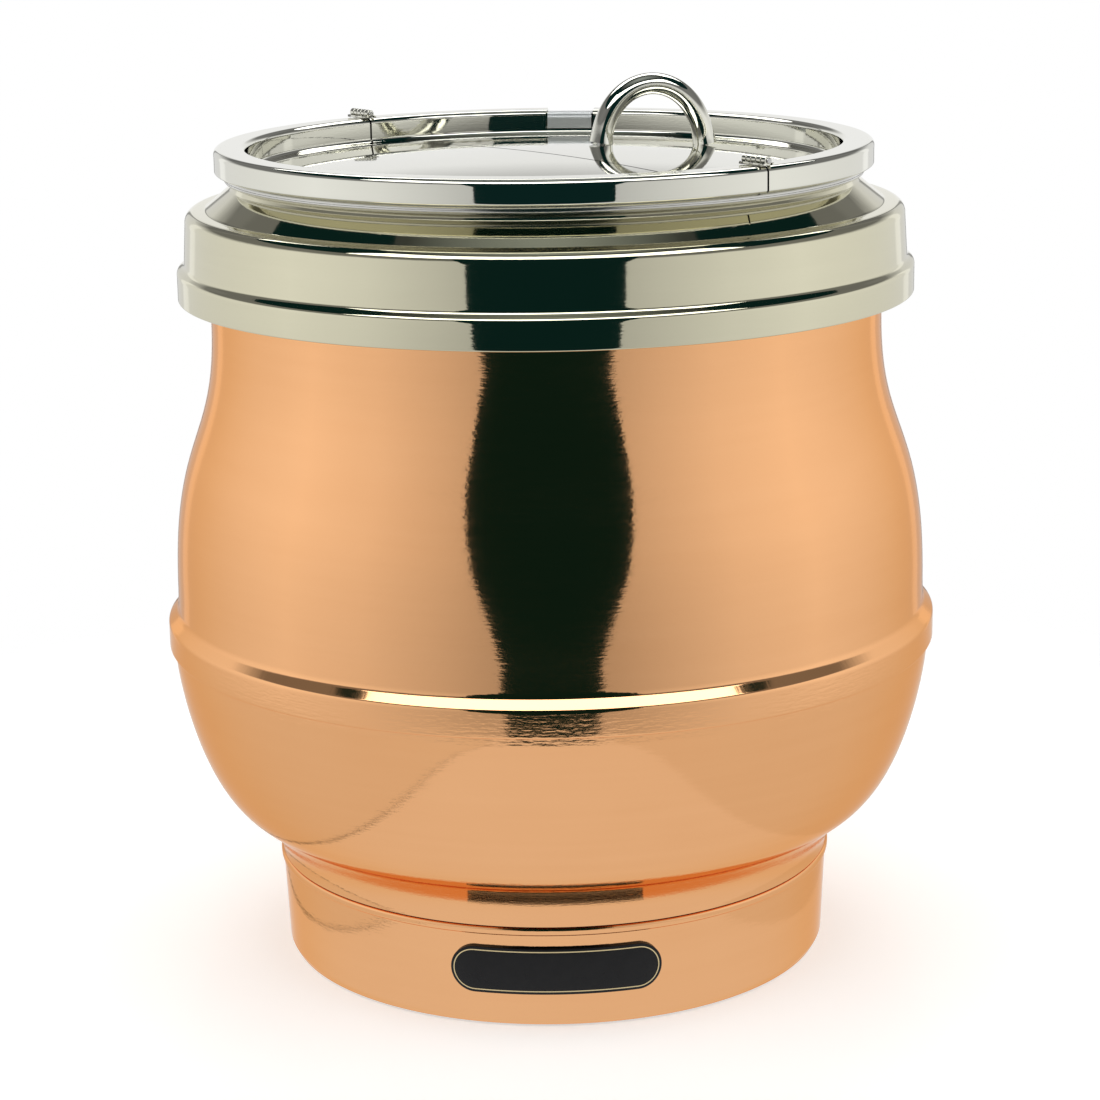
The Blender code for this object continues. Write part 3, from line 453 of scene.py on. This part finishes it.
def plate_ring(work, columns, way, z_mid, lift):
    """Upper and lower rows of one outline, sharing a point where they meet at the ends."""
    upper = [work.verts.new(on_base(x, y, lift, way, z_mid)) for x, y in columns]
    lower = [work.verts.new(on_base(x, -y, lift, way, z_mid)) if y > TINY else top
             for (x, y), top in zip(columns, upper)]
    return upper, lower


def skin_between(work, quads):
    """Faces from rows of four points, leaving out points that are shared."""
    for quad in quads:
        face = [v for i, v in enumerate(quad) if v not in quad[:i]]
        if len(face) > 2:
            work.faces.new(face)


def bent_plate(work, way, size, end_r, z_mid, lift, thick, edge=0.4):
    """A plate bent to the base's wall: back, sides, rounded edge and face."""
    width, height = size
    layers = [(lift, 0.0), (lift + thick - edge, 0.0), (lift + thick - edge * 0.3, edge * 0.3),
              (lift + thick, edge)]
    rings = [plate_ring(work, plate_columns(width - 2 * cut, height - 2 * cut, end_r - cut), way, z_mid, off)
             for off, cut in layers]
    count = len(rings[0][0])
    for (up0, low0), (up1, low1) in zip(rings, rings[1:]):
        for row0, row1 in ((up0, up1), (low0, low1)):
            skin_between(work, [(row0[k], row0[k + 1], row1[k + 1], row1[k]) for k in range(count - 1)])
        for k in (0, count - 1):
            if up0[k] is not low0[k]:
                skin_between(work, [(up0[k], up1[k], low1[k], low0[k])])
    for upper, lower in (rings[0], rings[-1]):
        skin_between(work, [(upper[k], upper[k + 1], lower[k + 1], lower[k]) for k in range(count - 1)])


def keyline(work, way, size, end_r, z_mid, lift):
    """A thin raised line that follows a plate's edge."""
    width, height = size
    near, far = KEYLINE_INSET, KEYLINE_INSET + KEYLINE_WIDE
    rows = []
    for off, cut in ((lift, near), (lift + KEYLINE_LIFT, near), (lift + KEYLINE_LIFT, far), (lift, far)):
        columns = plate_columns(width - 2 * cut, height - 2 * cut, end_r - cut)
        rows.append(plate_ring(work, columns, way, z_mid, off))
    count = len(rows[0][0])
    for (up0, low0), (up1, low1) in zip(rows, rows[1:] + rows[:1]):
        for row0, row1 in ((up0, up1), (low0, low1)):
            skin_between(work, [(row0[k], row0[k + 1], row1[k + 1], row1[k]) for k in range(count - 1)])


def make_badge():
    """Blank black plate on the front, with a thin line inside its edge."""
    size, sunk = (BADGE_W, BADGE_H), 0.02
    work = bmesh.new()
    bent_plate(work, FRONT, size, BADGE_H / 2.0, BADGE_Z, GAP, BADGE_T)
    finish_piece("badge_enamel", work, BLACK_ENAMEL, "body", ["badge_plate"])
    work = bmesh.new()
    keyline(work, FRONT, size, BADGE_H / 2.0, BADGE_Z, GAP + BADGE_T - sunk)
    finish_piece("badge_keyline", work, GOLD, "body")


# ---------------------------------------------------------------- ring, pot

def make_adaptor_ring():
    """Stepped ring: sloping neck, round shoulder, wall and a wider skirt."""
    neck = (RING_NECK_R - 1.3, RING_NECK_Z, 0)
    section = filleted([neck, (RING_NECK_R - 0.2, RING_NECK_Z, 0.5), (136.6, 345.2, 1.5),
                        (147.6, RING_TOP_Z, 2.5), (RING_WALL_R - 0.4, RING_TOP_Z - 0.5, 7.4),
                        (157.6, 312.2, 2.6), (RING_R, 310.0, 2.4), (RING_R, RING_LOW_Z, 0.7),
                        (159.5, RING_LOW_Z, 0.3), (159.5, 308.0, 1.2), (156.1, 312.6, 1.6),
                        (154.9, RING_TOP_Z - 1.7, 6.2), (147.2, RING_TOP_Z - SHEET, 2.5),
                        (135.6, 344.4, 1.0), neck], 10)[:-1]
    turned("adaptor_ring_skin", section, RING_STEEL, "ring", ["adaptor_ring"])


def make_soup_pot():
    """Straight-sided pot with a rolled rim that hangs in the ring's neck."""
    wall, seat = POT_R - SHEET, RING_NECK_Z + GAP
    profile = filleted([(0.0, POT_FLOOR_Z + SHEET, 0), (wall, POT_FLOOR_Z + SHEET, 12.0),
                        (wall, 347.0, 2.0), (132.4, POT_RIM_Z, 1.6), (POT_RIM_R, POT_RIM_Z, 1.7),
                        (POT_RIM_R, seat, 1.7), (134.0, seat, 0.8), (POT_R, 345.4, 1.5),
                        (POT_R, POT_FLOOR_Z, 13.0), (0.0, POT_FLOOR_Z, 0)], 10)
    turned("soup_pot_skin", profile, POT_STEEL, "pot", ["soup_pot"])


# ---------------------------------------------------------------- lid

def lid_profile():
    """Dished plate with a hollow rim, from the centre of its top to the centre of its underside."""
    dome = [(i * 4.0, dome_z(i * 4.0)) for i in range(31)]
    rim = filleted([(120.0, dome_z(120.0), 0), (LID_IN_R, dome_z(LID_IN_R) - 0.1, 2.0),
                    (LID_IN_R, LID_TOP_Z, 2.4), (LID_R, LID_TOP_Z, 2.6), (LID_R, LID_LOW_Z, 1.1),
                    (134.0, LID_LOW_Z, 0.3), (134.0, LID_LOW_Z + SHEET, 0.3), (141.8, LID_LOW_Z + SHEET, 0.3),
                    (141.8, LID_TOP_Z - SHEET, 1.6), (LID_IN_R + SHEET, LID_TOP_Z - SHEET, 1.4),
                    (LID_IN_R + SHEET, 350.2, 1.8), (124.0, dome_z(124.0) - SHEET, 0)], 10)[1:-1]
    under = [(i * 12.0, dome_z(i * 12.0) - SHEET) for i in range(10, -1, -1)]
    return dome + rim + under


def lid_half(work, side):
    """The pressing cut along the hinge line, its cut edge closed."""
    spin(work, lid_profile())
    across = Vector((-sin(HINGE_TURN), cos(HINGE_TURN), 0.0)) * side
    geom = work.verts[:] + work.edges[:] + work.faces[:]
    cut = bmesh.ops.bisect_plane(work, geom=geom, plane_co=across * (SPLIT_GAP / 2.0 * MM),
                                 plane_no=across, clear_inner=True)
    edges = [e for e in cut["geom_cut"] if isinstance(e, bmesh.types.BMEdge)]
    bmesh.ops.triangle_fill(work, edges=edges, use_beauty=True)


def make_lid_halves():
    """Both halves; returns the flap, whose rim is cut for the sleeve."""
    work = bmesh.new()
    lid_half(work, -1.0)
    finish_piece("lid_fixed_skin", work, LID_STEEL, "lid", ["lid_fixed_half"])
    work = bmesh.new()
    lid_half(work, 1.0)
    return finish_piece("lid_flap_skin", work, LID_STEEL, "flap", ["lid_flap_half"])


def handle_arch():
    """(along, z) points of the arched bar's middle line, standing on the dished lid."""
    ends = []
    for side in (-1.0, 1.0):
        x = HANDLE_X + side * HANDLE_HALF_SPAN * cos(HANDLE_TURN)
        y = HANDLE_Y + side * HANDLE_HALF_SPAN * sin(HANDLE_TURN)
        ends.append(dome_z(hypot(x, y)) + HANDLE_LIFT)
    crest = dome_z(hypot(HANDLE_X, HANDLE_Y)) + HANDLE_RISE
    span, shoulder, pull = HANDLE_HALF_SPAN, HANDLE_HALF_SPAN - HANDLE_LEAN, 4.0 / 3.0
    return bezier((-span, ends[0]), (-shoulder, ends[0] + (crest - ends[0]) * pull),
                  (shoulder, ends[1] + (crest - ends[1]) * pull), (span, ends[1]), 72)


def make_handle():
    """Oval bar swept along the arch, a little thicker at its feet."""
    arch = handle_arch()
    way = Vector((cos(HANDLE_TURN), sin(HANDLE_TURN), 0.0))
    across = Vector((-sin(HANDLE_TURN), cos(HANDLE_TURN), 0.0))
    work, rings, sides = bmesh.new(), [], 36
    for i, (s, z) in enumerate(arch):
        s0, z0 = arch[max(i - 1, 0)]
        s1, z1 = arch[min(i + 1, len(arch) - 1)]
        length = hypot(s1 - s0, z1 - z0)
        ds, dz = (s1 - s0) / length, (z1 - z0) / length
        near_foot = min(i, len(arch) - 1 - i)
        flare = 1.0 + HANDLE_FLARE * max(0.0, 1.0 - near_foot / FLARE_STEPS) ** 2
        ring = []
        for k in range(sides):
            turn = 2.0 * pi * k / sides
            inward = HANDLE_THICK / 2.0 * cos(turn) * flare
            spot = Vector((HANDLE_X, HANDLE_Y, 0.0)) + way * (s - dz * inward)
            spot += across * (HANDLE_WIDE / 2.0 * sin(turn) * flare) + Vector((0.0, 0.0, z + ds * inward))
            ring.append(work.verts.new(spot * MM))
        rings.append(ring)
    sweep_rings(work, rings)
    finish_piece("lid_handle_skin", work, LID_STEEL, "flap", ["lid_handle"],
                 HANDLE_CREASE)


def make_knuckles(name, side, end, body, node):
    """One half's knuckles and the strip that joins them, in the hinge's own frame."""
    work, matrix = bmesh.new(), hinge_matrix(end)
    first = 0 if side < 0 else 1
    for i in range(first, KNUCKLES, 2):
        low = i * (KNUCKLE_LEN + KNUCKLE_GAP) - LEAF_HALF
        tube = filleted([(PIN_R + KNUCKLE_BORE, low + KNUCKLE_LEN, 0), (KNUCKLE_R, low + KNUCKLE_LEN, 0.25),
                         (KNUCKLE_R, low, 0.25), (PIN_R + KNUCKLE_BORE, low, 0)], 3)
        spin(work, tube, PIN_TURNS, matrix)
        near, far = sorted((side * LEAF_NEAR, side * LEAF_FAR))
        add_box(work, (near, -KNUCKLE_R, low), (far, LEAF_TOP, low + KNUCKLE_LEN), matrix, LEAF_EDGE)
    near, far = sorted((side * LEAF_STRIP, side * LEAF_FAR))
    add_box(work, (near, -KNUCKLE_R, -LEAF_HALF), (far, LEAF_TOP, LEAF_HALF), matrix, LEAF_EDGE)
    finish_piece(name, work, LID_STEEL, body, [node])


def make_hinges():
    """A knuckle hinge at each end of the hinge line, with a headed pin."""
    for tag, end in (("right", 1.0), ("left", -1.0)):
        make_knuckles(f"fixed_knuckles_{tag}", -1.0, end, "lid", f"fixed_leaf_{tag}")
        make_knuckles(f"flap_knuckles_{tag}", 1.0, end, "flap", f"flap_leaf_{tag}")
        head = LEAF_HALF + PIN_HEAD_GAP
        tip = head + PIN_HEAD_LONG
        pin = filleted([(0.0, tip, 0), (PIN_HEAD_R - 0.2, tip, 0.4), (PIN_HEAD_R, head, 0.2),
                        (PIN_R, head, 0), (PIN_R, -head, 0), (PIN_HEAD_R, -head, 0.2),
                        (PIN_HEAD_R - 0.2, -tip, 0.4), (0.0, -tip, 0)], 4)
        turned(f"hinge_pin_{tag}_skin", pin, PIN_STEEL, "lid", [f"hinge_pin_{tag}"],
               PIN_TURNS, hinge_matrix(end))


def make_rim_sleeve():
    """Satin section of the rim at the rear, swept round a short arc."""
    work = bmesh.new()
    low, high = LID_LOW_Z + SHEET + 2 * GAP, LID_TOP_Z - 1.5
    near, far = LID_IN_R + 0.5, LID_R - 0.6
    start = (near, low + 1, 0)
    section = filleted([start, (near, high, 2.6), (far, high, 2.6), (far, low, 0.2), (near, low, 0.2),
                        start])[:-1]
    half, steps = SLEEVE_LEN / 2.0 - GAP, 24
    rings = []
    for i in range(steps + 1):
        turn = radians(REAR) + SLEEVE_TURN + (-half + 2.0 * half * i / steps) / HINGE_MID_R
        rings.append([work.verts.new(Vector((r * cos(turn), r * sin(turn), z)) * MM) for r, z in section])
    sweep_rings(work, rings)
    finish_piece("rim_sleeve_skin", work, SATIN_STEEL, "flap", ["rim_sleeve"])


def cut_notch(flap):
    """Open the flap's rim where the sleeve sits."""
    work = bmesh.new()
    half = SLEEVE_LEN / 2.0
    turn = Matrix.Rotation(SLEEVE_TURN, 4, 'Z')
    add_box(work, (-half, NOTCH_IN_R, LID_LOW_Z + SHEET + GAP), (half, NOTCH_OUT_R, NOTCH_TOP_Z), turn)
    mesh = bpy.data.meshes.new("notch")
    work.to_mesh(mesh)
    work.free()
    tool = bpy.data.objects.new("notch", mesh)
    bpy.context.scene.collection.objects.link(tool)
    mod = flap.modifiers.new("Notch", 'BOOLEAN')
    mod.operation = 'DIFFERENCE'
    mod.solver = 'EXACT'
    mod.object = tool
    bpy.context.view_layer.update()
    shape = bpy.data.meshes.new_from_object(flap.evaluated_get(bpy.context.evaluated_depsgraph_get()))
    flap.modifiers.clear()
    flap.data = shape
    bpy.data.objects.remove(tool)


# ---------------------------------------------------------------- rear controls

PANEL_FACE = base_wall_r(KNOB_Z + 12.0) + GAP + PANEL_T + GAP
WALL_BACK = base_wall_r(KNOB_Z) - SHEET
KNOB_LOW, KNOB_TOP = PANEL_FACE + KNOB_STAND, PANEL_FACE + KNOB_STAND + KNOB_LEN


def make_panel():
    """Black plate bent to the base at the rear."""
    work = bmesh.new()
    bent_plate(work, REAR, (PANEL_W, PANEL_H), PANEL_END_R, KNOB_Z, GAP, PANEL_T, PANEL_EDGE)
    finish_piece("control_panel_skin", work, BLACK_PLASTIC, "body", ["control_panel"])


def make_dial_marks():
    """Plain ticks round the knob, longer at both ends and in the middle."""
    work = bmesh.new()
    for i in range(DIAL_MARKS + 1):
        angle = radians(-DIAL_SWEEP / 2.0 + DIAL_SWEEP * i / DIAL_MARKS)
        x, y = -DIAL_R * sin(angle), DIAL_R * cos(angle) * DIAL_SQUASH
        spot = on_base(x, y, PANEL_T + GAP + 0.15, REAR, KNOB_Z)
        ways = Matrix.Translation(spot) @ Euler((0.0, 0.0, x / BASE_TOP_R)).to_matrix().to_4x4()
        half = 0.9 if i % 5 else 1.5
        add_box(work, (-0.35, -0.2, -half), (0.35, 0.2, half), ways @ Matrix.Rotation(angle, 4, 'Y'), 0.1)
    finish_piece("dial_marks_print", work, WHITE_MARK, "body")


def make_knob():
    """Skirted knob with upright grips and a white pointer on its face."""
    low, top = KNOB_LOW, KNOB_TOP
    work = bmesh.new()
    knob = filleted([(0.0, top - 0.6, 0), (KNOB_R - 4.0, top - 0.2, 2.0), (KNOB_R - 2.0, top, 1.2),
                     (KNOB_R - 1.2, low + 3.0, 1.0), (KNOB_R + 1.8, low + 2.2, 0.8), (KNOB_R + 2.0, low, 0.5),
                     (KNOB_R - 2.0, low, 0.5), (KNOB_R - 3.0, low + 6.0, 1.0), (0.0, low + 6.0, 0)], 6)
    spin(work, knob, KNOB_TURNS, radial_matrix(REAR))
    for i in range(GRIPS):
        turn = 2.0 * pi * i / GRIPS
        grip = Matrix.Translation((0.0, 0.0, KNOB_Z * MM)) @ Matrix.Rotation(turn, 4, 'Y')
        add_box(work, (-0.7, low + 3.2, KNOB_R - 2.2), (0.7, top - 2.4, KNOB_R - 0.9), grip, 0.3)
    finish_piece("control_knob_skin", work, BLACK_PLASTIC, "knob", ["control_knob"])
    work = bmesh.new()
    add_box(work, (-0.7, top - 0.6, KNOB_Z + 3.0), (0.7, top - 0.05, KNOB_Z + 11.5), None, 0.15)
    finish_piece("knob_pointer_print", work, WHITE_MARK, "knob")


def make_lamp():
    """Domed amber lens that reaches through the panel and the wall."""
    face, stem_r, inner = PANEL_FACE, 4.6, WALL_BACK - 8.0
    lens = filleted([(0.0, face + 2.6, 0), (4.0, face + 2.4, 1.5), (5.8, face + 0.2, 0.6),
                     (stem_r, face + 0.2, 0.2), (stem_r, inner, 0.4), (0.0, inner, 0)])
    turned("power_lamp_skin", lens, AMBER, "body", ["power_lamp"], LAMP_TURNS,
           radial_matrix(LAMP_WAY))


def make_gland():
    """Hollow cord gland with a collar outside and a plain tail inside the wall."""
    face, bore_r, collar_r, tail_r, inner = PANEL_FACE, 3.6, 9.6, 8.0, WALL_BACK - 9.0
    gland = filleted([(bore_r, face + 12.0, 0), (5.4, face + 12.0, 0.8), (6.8, face + 9.0, 1.0),
                      (7.2, face + 6.0, 0.4), (collar_r, face + 5.2, 0.5), (collar_r, face + 0.2, 0.3),
                      (tail_r, face + 0.2, 0), (tail_r, inner, 0.4), (bore_r, inner, 0)], 6)
    turned("cable_gland_skin", gland, BLACK_PLASTIC, "body", ["cable_gland"], GLAND_TURNS,
           radial_matrix(INLET_WAY))


def make_feet():
    """Four rubber feet, each with a neck held in the base plate."""
    head_r, neck_r, foot_r = 4.4, 3.0, 11.5
    profile = filleted([(0.0, 7.5, 0), (head_r, 7.5, 1.0), (head_r, 5.5, 0.3), (neck_r, 5.5, 0),
                        (neck_r, 3.7, 0), (foot_r, 3.7, 0.5), (foot_r, 0.0, 1.2), (0.0, 0.0, 0)], 6)
    for number, way in enumerate(FOOT_WAYS, 1):
        spot = Vector((FOOT_RING_R * cos(radians(way)), FOOT_RING_R * sin(radians(way)), 0.0)) * MM
        turned(f"foot_{number}_skin", profile, RUBBER, "body", [f"foot_{number}"], FOOT_TURNS,
               Matrix.Translation(spot))


KEPT_LOOKS = (
    (ZINC, ("base_plate", "pillar_1", "pillar_2", "pillar_3", "bowl_screw_1", "bowl_screw_2",
            "bowl_screw_3", "plate_screw_1", "plate_screw_2", "plate_screw_3", "control_bush",
            "bush_nut", "spreader_stud", "spreader_nut")),
    (PAN_STEEL, ("water_pan",)),
    (PIN_STEEL, ("heating_element", "knob_shaft", "handle_screw_1", "handle_screw_2")),
    (CREAM_PLASTIC, ("thermostat", "terminal_block")),
    (BLACK_PLASTIC, ("gland_locknut", "thermal_cutout")),
    (ALUMINIUM, ("heat_spreader",)),
    (BRASS, ("sensor_bulb", "capillary_tube")),
)


def dress_kept_nodes():
    """Give each CAD node that stays in view its own material."""
    for mat, names in KEPT_LOOKS:
        for name in names:
            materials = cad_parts[name].data.materials
            materials.clear()
            materials.append(mat)


# ---------------------------------------------------------------- studio, in metres

FLOOR_SOLID, FLOOR_END, FLOOR_GLOW = 0.42, 0.60, 0.42
TENT_R, TENT_LOW, TENT_WALL, TENT_LIGHT = 0.62, -0.01, 0.78, 1.05
TENT_TOP_SHARE, TENT_FOOT_SHARE = 0.22, 0.86          # of the walls' light
PANEL_TOP, PANEL_FADE = 0.46, 0.56                    # heights between which the walls darken
FOOT_LOW, FOOT_HIGH = 0.02, 0.30                      # heights between which they reach full light
BANK_R, BANK_Z, BANK_LIGHT, BANK_TURNS = 0.36, 0.86, 3.4, 64
BANK_FRONT, BANK_REAR = 64.0, 130.0                   # degrees from the front; no bank in between
CEILING_Z, CEILING_R, CEILING_FADE_R, CEILING_MID, CEILING_EDGE = 1.3, 0.5, 0.45, 0.42, 0.06
SLIT_HALF, SLIT_BEND_Z, SLIT_SLOPE, SLIT_TOP_SLOPE = 0.116, 0.24, 0.413, 0.19
PAPER_EDGE, PAPER_END, SEAM_HALF = 0.157, 0.6, 0.001
PAPER_LIGHT, SIDE_LIGHT, SEAM_LIGHT, ROOM_LIGHT = 0.84, 0.78, 0.2, 0.02
UNDER_Z, SIDE_Z, SEAM_Z, ROOM_Z = 0.0004, 0.0006, 0.0008, 0.0010
ROOM_HALF, ROOM_REACH = 0.145, 0.04
WHITE, ROOM_TEAL = (1.0, 1.0, 1.0), (0.004, 0.020, 0.019)
LENS, CAMERA_ROLL = 98.4, -0.0155
CAMERA_SPOT, CAMERA_AIM = (0.0, -1.3102, 0.5040), (0.0, 0.0, 0.1786)


def grey(level, warm=0.0):
    """A grey, or a slightly creamy one where warm is 1."""
    return (level, level * (1.0 - 0.02 * warm), level * (1.0 - 0.06 * warm))


# brightness of the walls by degrees from the front, with a soft fold at the rear
SIDE_STOPS = ((0.0, 0.52), (16.0, 0.56), (30.0, 0.70), (50.0, 0.88), (75.0, 1.0), (100.0, 0.92),
              (130.0, 0.84), (132.0, 1.0), (137.0, 1.0), (139.0, 0.78), (150.5, 0.72), (151.5, 0.32),
              (153.0, 0.32), (154.0, 0.92), (180.0, 0.86))


def stage_mesh(name, work, mat, smooth=True):
    """A studio object, kept apart from the kettle."""
    mesh = bpy.data.meshes.new(name)
    work.to_mesh(mesh)
    work.free()
    if smooth:
        mesh.shade_smooth()
    mesh.materials.append(mat)
    obj = bpy.data.objects.new(name, mesh)
    bpy.context.scene.collection.objects.link(obj)
    return obj


def disc(work, radius, z, turns=64):
    bmesh.ops.create_circle(work, cap_ends=True, segments=turns, radius=radius,
                            matrix=Matrix.Translation((0.0, 0.0, z)))


def panel(work, low, high, z):
    corners = [(low[0], low[1]), (high[0], low[1]), (high[0], high[1]), (low[0], high[1])]
    work.faces.new([work.verts.new((x, y, z)) for x, y in corners])


def make_floor():
    """Pale floor that fades out into the white behind it."""
    look = Look("pale_floor", Roughness=0.9, Specular_IOR_Level=0.1, Emission_Color=WHITE,
                Emission_Strength=FLOOR_GLOW)
    look.ramp(look.noise(30.0, detail=3.0), (0.80, 0.80, 0.79), (0.82, 0.82, 0.81), "Base Color")
    far = look.node("ShaderNodeVectorMath", {0: look.place()}, operation='LENGTH').outputs["Value"]
    fade = look.node("ShaderNodeMapRange", {"Value": far}, From_Min=FLOOR_SOLID, From_Max=FLOOR_END,
                     To_Min=1.0, To_Max=0.0, interpolation_type='SMOOTHSTEP')
    look.tree.links.new(fade.outputs[0], look.shader.inputs["Alpha"])
    work = bmesh.new()
    disc(work, FLOOR_END, 0.0, 96)
    stage_mesh("floor", work, look.mat, False)


class Glow(Nodes):
    """A light-giving cloth or paper."""

    def __init__(self, name, colour, strength):
        self.mat = bpy.data.materials.new(name)
        self.mat.use_nodes = True
        self.mat.node_tree.nodes.clear()
        super().__init__(self.mat.node_tree)
        self.light = self.node("ShaderNodeEmission", Color=(*colour, 1.0), Strength=strength)
        self.node("ShaderNodeOutputMaterial", {"Surface": self.light.outputs[0]})


def wall_cloth():
    """Lit cloth whose brightness changes with the direction from the front and with height."""
    glow = Glow("tent_cloth", WHITE, TENT_LIGHT)
    split = glow.node("ShaderNodeSeparateXYZ", {"Vector": glow.place()}).outputs
    turn = glow.math('ARCTAN2', glow.math('ABSOLUTE', split["X"]), glow.math('MULTIPLY', split["Y"], -1.0))
    ramp = glow.node("ShaderNodeValToRGB", {"Fac": glow.math('DIVIDE', turn, pi)})
    points = ramp.color_ramp.elements
    while len(points) < len(SIDE_STOPS):
        points.new(0.5)
    for point, (degrees, level) in zip(points, SIDE_STOPS):
        point.position = degrees / 180.0
        point.color = (*grey(level), 1.0)
    fade = glow.node("ShaderNodeMapRange", {"Value": split["Z"]}, From_Min=PANEL_TOP, From_Max=PANEL_FADE,
                     To_Min=TENT_LIGHT, To_Max=TENT_LIGHT * TENT_TOP_SHARE)
    rise = glow.node("ShaderNodeMapRange", {"Value": split["Z"]}, From_Min=FOOT_LOW, From_Max=FOOT_HIGH,
                     To_Min=TENT_FOOT_SHARE)
    level = glow.math('MULTIPLY', rise.outputs[0], fade.outputs[0])
    glow.tree.links.new(ramp.outputs[0], glow.light.inputs["Color"])
    glow.tree.links.new(level, glow.light.inputs["Strength"])
    return glow.mat


def ceiling_cloth():
    """Dim cloth overhead, a little lighter in the middle."""
    glow = Glow("ceiling_cloth", (0.92, 1.0, 0.97), CEILING_MID)
    _, radius = glow.flat_place(glow.place())
    fade = glow.node("ShaderNodeMapRange", {"Value": radius}, From_Max=CEILING_FADE_R, To_Min=CEILING_MID,
                     To_Max=CEILING_EDGE)
    glow.tree.links.new(fade.outputs[0], glow.light.inputs["Strength"])
    return glow.mat


def slit_half(z):
    """Half-width of the front opening at a height: a V, narrow at the table."""
    low, high = min(max(z, 0.0), SLIT_BEND_Z), max(z - SLIT_BEND_Z, 0.0)
    return SLIT_HALF + SLIT_SLOPE * low + SLIT_TOP_SLOPE * high


def wall_sheet(work, side, rows=24, columns=96):
    """One side wall, from the front opening's edge round to the rear."""
    grid = []
    for i in range(rows + 1):
        z = TENT_LOW + (TENT_WALL - TENT_LOW) * i / rows
        start = slit_half(z) / TENT_R
        turns = [start * (1.0 - k / columns) + pi * (k / columns) for k in range(columns + 1)]
        grid.append([work.verts.new((side * TENT_R * sin(turn), -TENT_R * cos(turn), z)) for turn in turns])
    for a, b in zip(grid, grid[1:]):
        for k in range(columns):
            work.faces.new((a[k], a[k + 1], b[k + 1], b[k]))


def make_walls():
    work = bmesh.new()
    for side in (-1.0, 1.0):
        wall_sheet(work, side)
    return stage_mesh("tent_walls", work, wall_cloth())


def make_bank():
    """Bright sloping bank above the walls, open at both sides."""
    work = bmesh.new()
    rim, top = [[work.verts.new((r * sin(2 * pi * k / BANK_TURNS), -r * cos(2 * pi * k / BANK_TURNS), z))
                 for k in range(BANK_TURNS)] for r, z in ((TENT_R, TENT_WALL), (BANK_R, BANK_Z))]
    for k in range(BANK_TURNS):
        n = (k + 1) % BANK_TURNS
        off_front = min(k, BANK_TURNS - 1 - k) * 360.0 / BANK_TURNS
        if off_front < BANK_FRONT or off_front > BANK_REAR:
            work.faces.new((rim[k], rim[n], top[n], top[k]))
    bmesh.ops.delete(work, geom=[v for v in work.verts if not v.link_faces], context='VERTS')
    return stage_mesh("tent_bank", work, Glow("tent_bank_cloth", grey(1.0), BANK_LIGHT).mat)


def make_ceiling():
    work = bmesh.new()
    disc(work, CEILING_R, CEILING_Z)
    return stage_mesh("tent_ceiling", work, ceiling_cloth(), False)


def make_papers():
    """White paper under the kettle, two side sheets, a seam's shade and a strip of dark room floor."""
    under, sides, seam, room = (bmesh.new() for _ in range(4))
    disc(under, TENT_R + 0.02, UNDER_Z)
    panel(sides, (-TENT_R, -PAPER_END), (-PAPER_EDGE, PAPER_END), SIDE_Z)
    panel(sides, (PAPER_EDGE, -PAPER_END), (TENT_R, PAPER_END), SIDE_Z)
    panel(seam, (-PAPER_EDGE - SEAM_HALF, -PAPER_END), (-PAPER_EDGE + SEAM_HALF, PAPER_END), SEAM_Z)
    panel(room, (-ROOM_HALF, -TENT_R - ROOM_REACH), (ROOM_HALF, -PAPER_END), ROOM_Z)
    warm = grey(1.0, 1.0)
    return [stage_mesh("paper_under", under, Glow("paper_white", grey(1.0), PAPER_LIGHT).mat, False),
            stage_mesh("paper_sides", sides, Glow("paper_side", warm, SIDE_LIGHT).mat, False),
            stage_mesh("paper_seam", seam, Glow("paper_seam_shade", warm, SEAM_LIGHT).mat, False),
            stage_mesh("room_floor", room, Glow("room_dark", (0.2, 1.0, 0.9), ROOM_LIGHT).mat, False)]


def make_tent():
    """Cloth panels, an overhead bank and paper sheets, seen only in reflections."""
    cloths, papers = [make_walls(), make_bank(), make_ceiling()], make_papers()
    for obj in papers:
        obj.visible_diffuse = False
    for obj in cloths + papers:
        obj.visible_camera = False
        obj.visible_shadow = False


def make_world():
    """White for the camera, and a dark room for everything else."""
    world = bpy.data.worlds.new("Studio")
    bpy.context.scene.world = world
    world.use_nodes = True
    world.node_tree.nodes.clear()
    nodes = Nodes(world.node_tree)
    seen = nodes.node("ShaderNodeBackground", Color=(*WHITE, 1.0)).outputs[0]
    room = nodes.node("ShaderNodeBackground", Color=(*ROOM_TEAL, 1.0)).outputs[0]
    path = nodes.node("ShaderNodeLightPath").outputs["Is Camera Ray"]
    mix = nodes.node("ShaderNodeMixShader", {0: path, 1: room, 2: seen})
    nodes.node("ShaderNodeOutputWorld", {"Surface": mix.outputs[0]})


def make_camera():
    data = bpy.data.cameras.new("Camera")
    data.sensor_width = 36.0
    data.lens = LENS
    data.clip_start = 0.05
    camera = bpy.data.objects.new("Camera", data)
    bpy.context.scene.collection.objects.link(camera)
    spot, aim = Vector(CAMERA_SPOT), Vector(CAMERA_AIM)
    camera.location = spot
    tilt = (aim - spot).to_track_quat('-Z', 'Y').to_matrix().to_4x4()
    camera.rotation_euler = (tilt @ Matrix.Rotation(CAMERA_ROLL, 4, 'Z')).to_euler()
    bpy.context.scene.camera = camera
    bpy.context.scene.view_settings.view_transform = 'Standard'


make_camera()
make_world()
make_floor()
make_tent()
make_base_ring()
make_lower_bowl()
make_upper_shell()
make_badge()
make_adaptor_ring()
make_soup_pot()
cut_notch(make_lid_halves())
make_rim_sleeve()
make_handle()
make_hinges()
make_panel()
make_dial_marks()
make_knob()
make_lamp()
make_gland()
make_feet()
dress_kept_nodes()
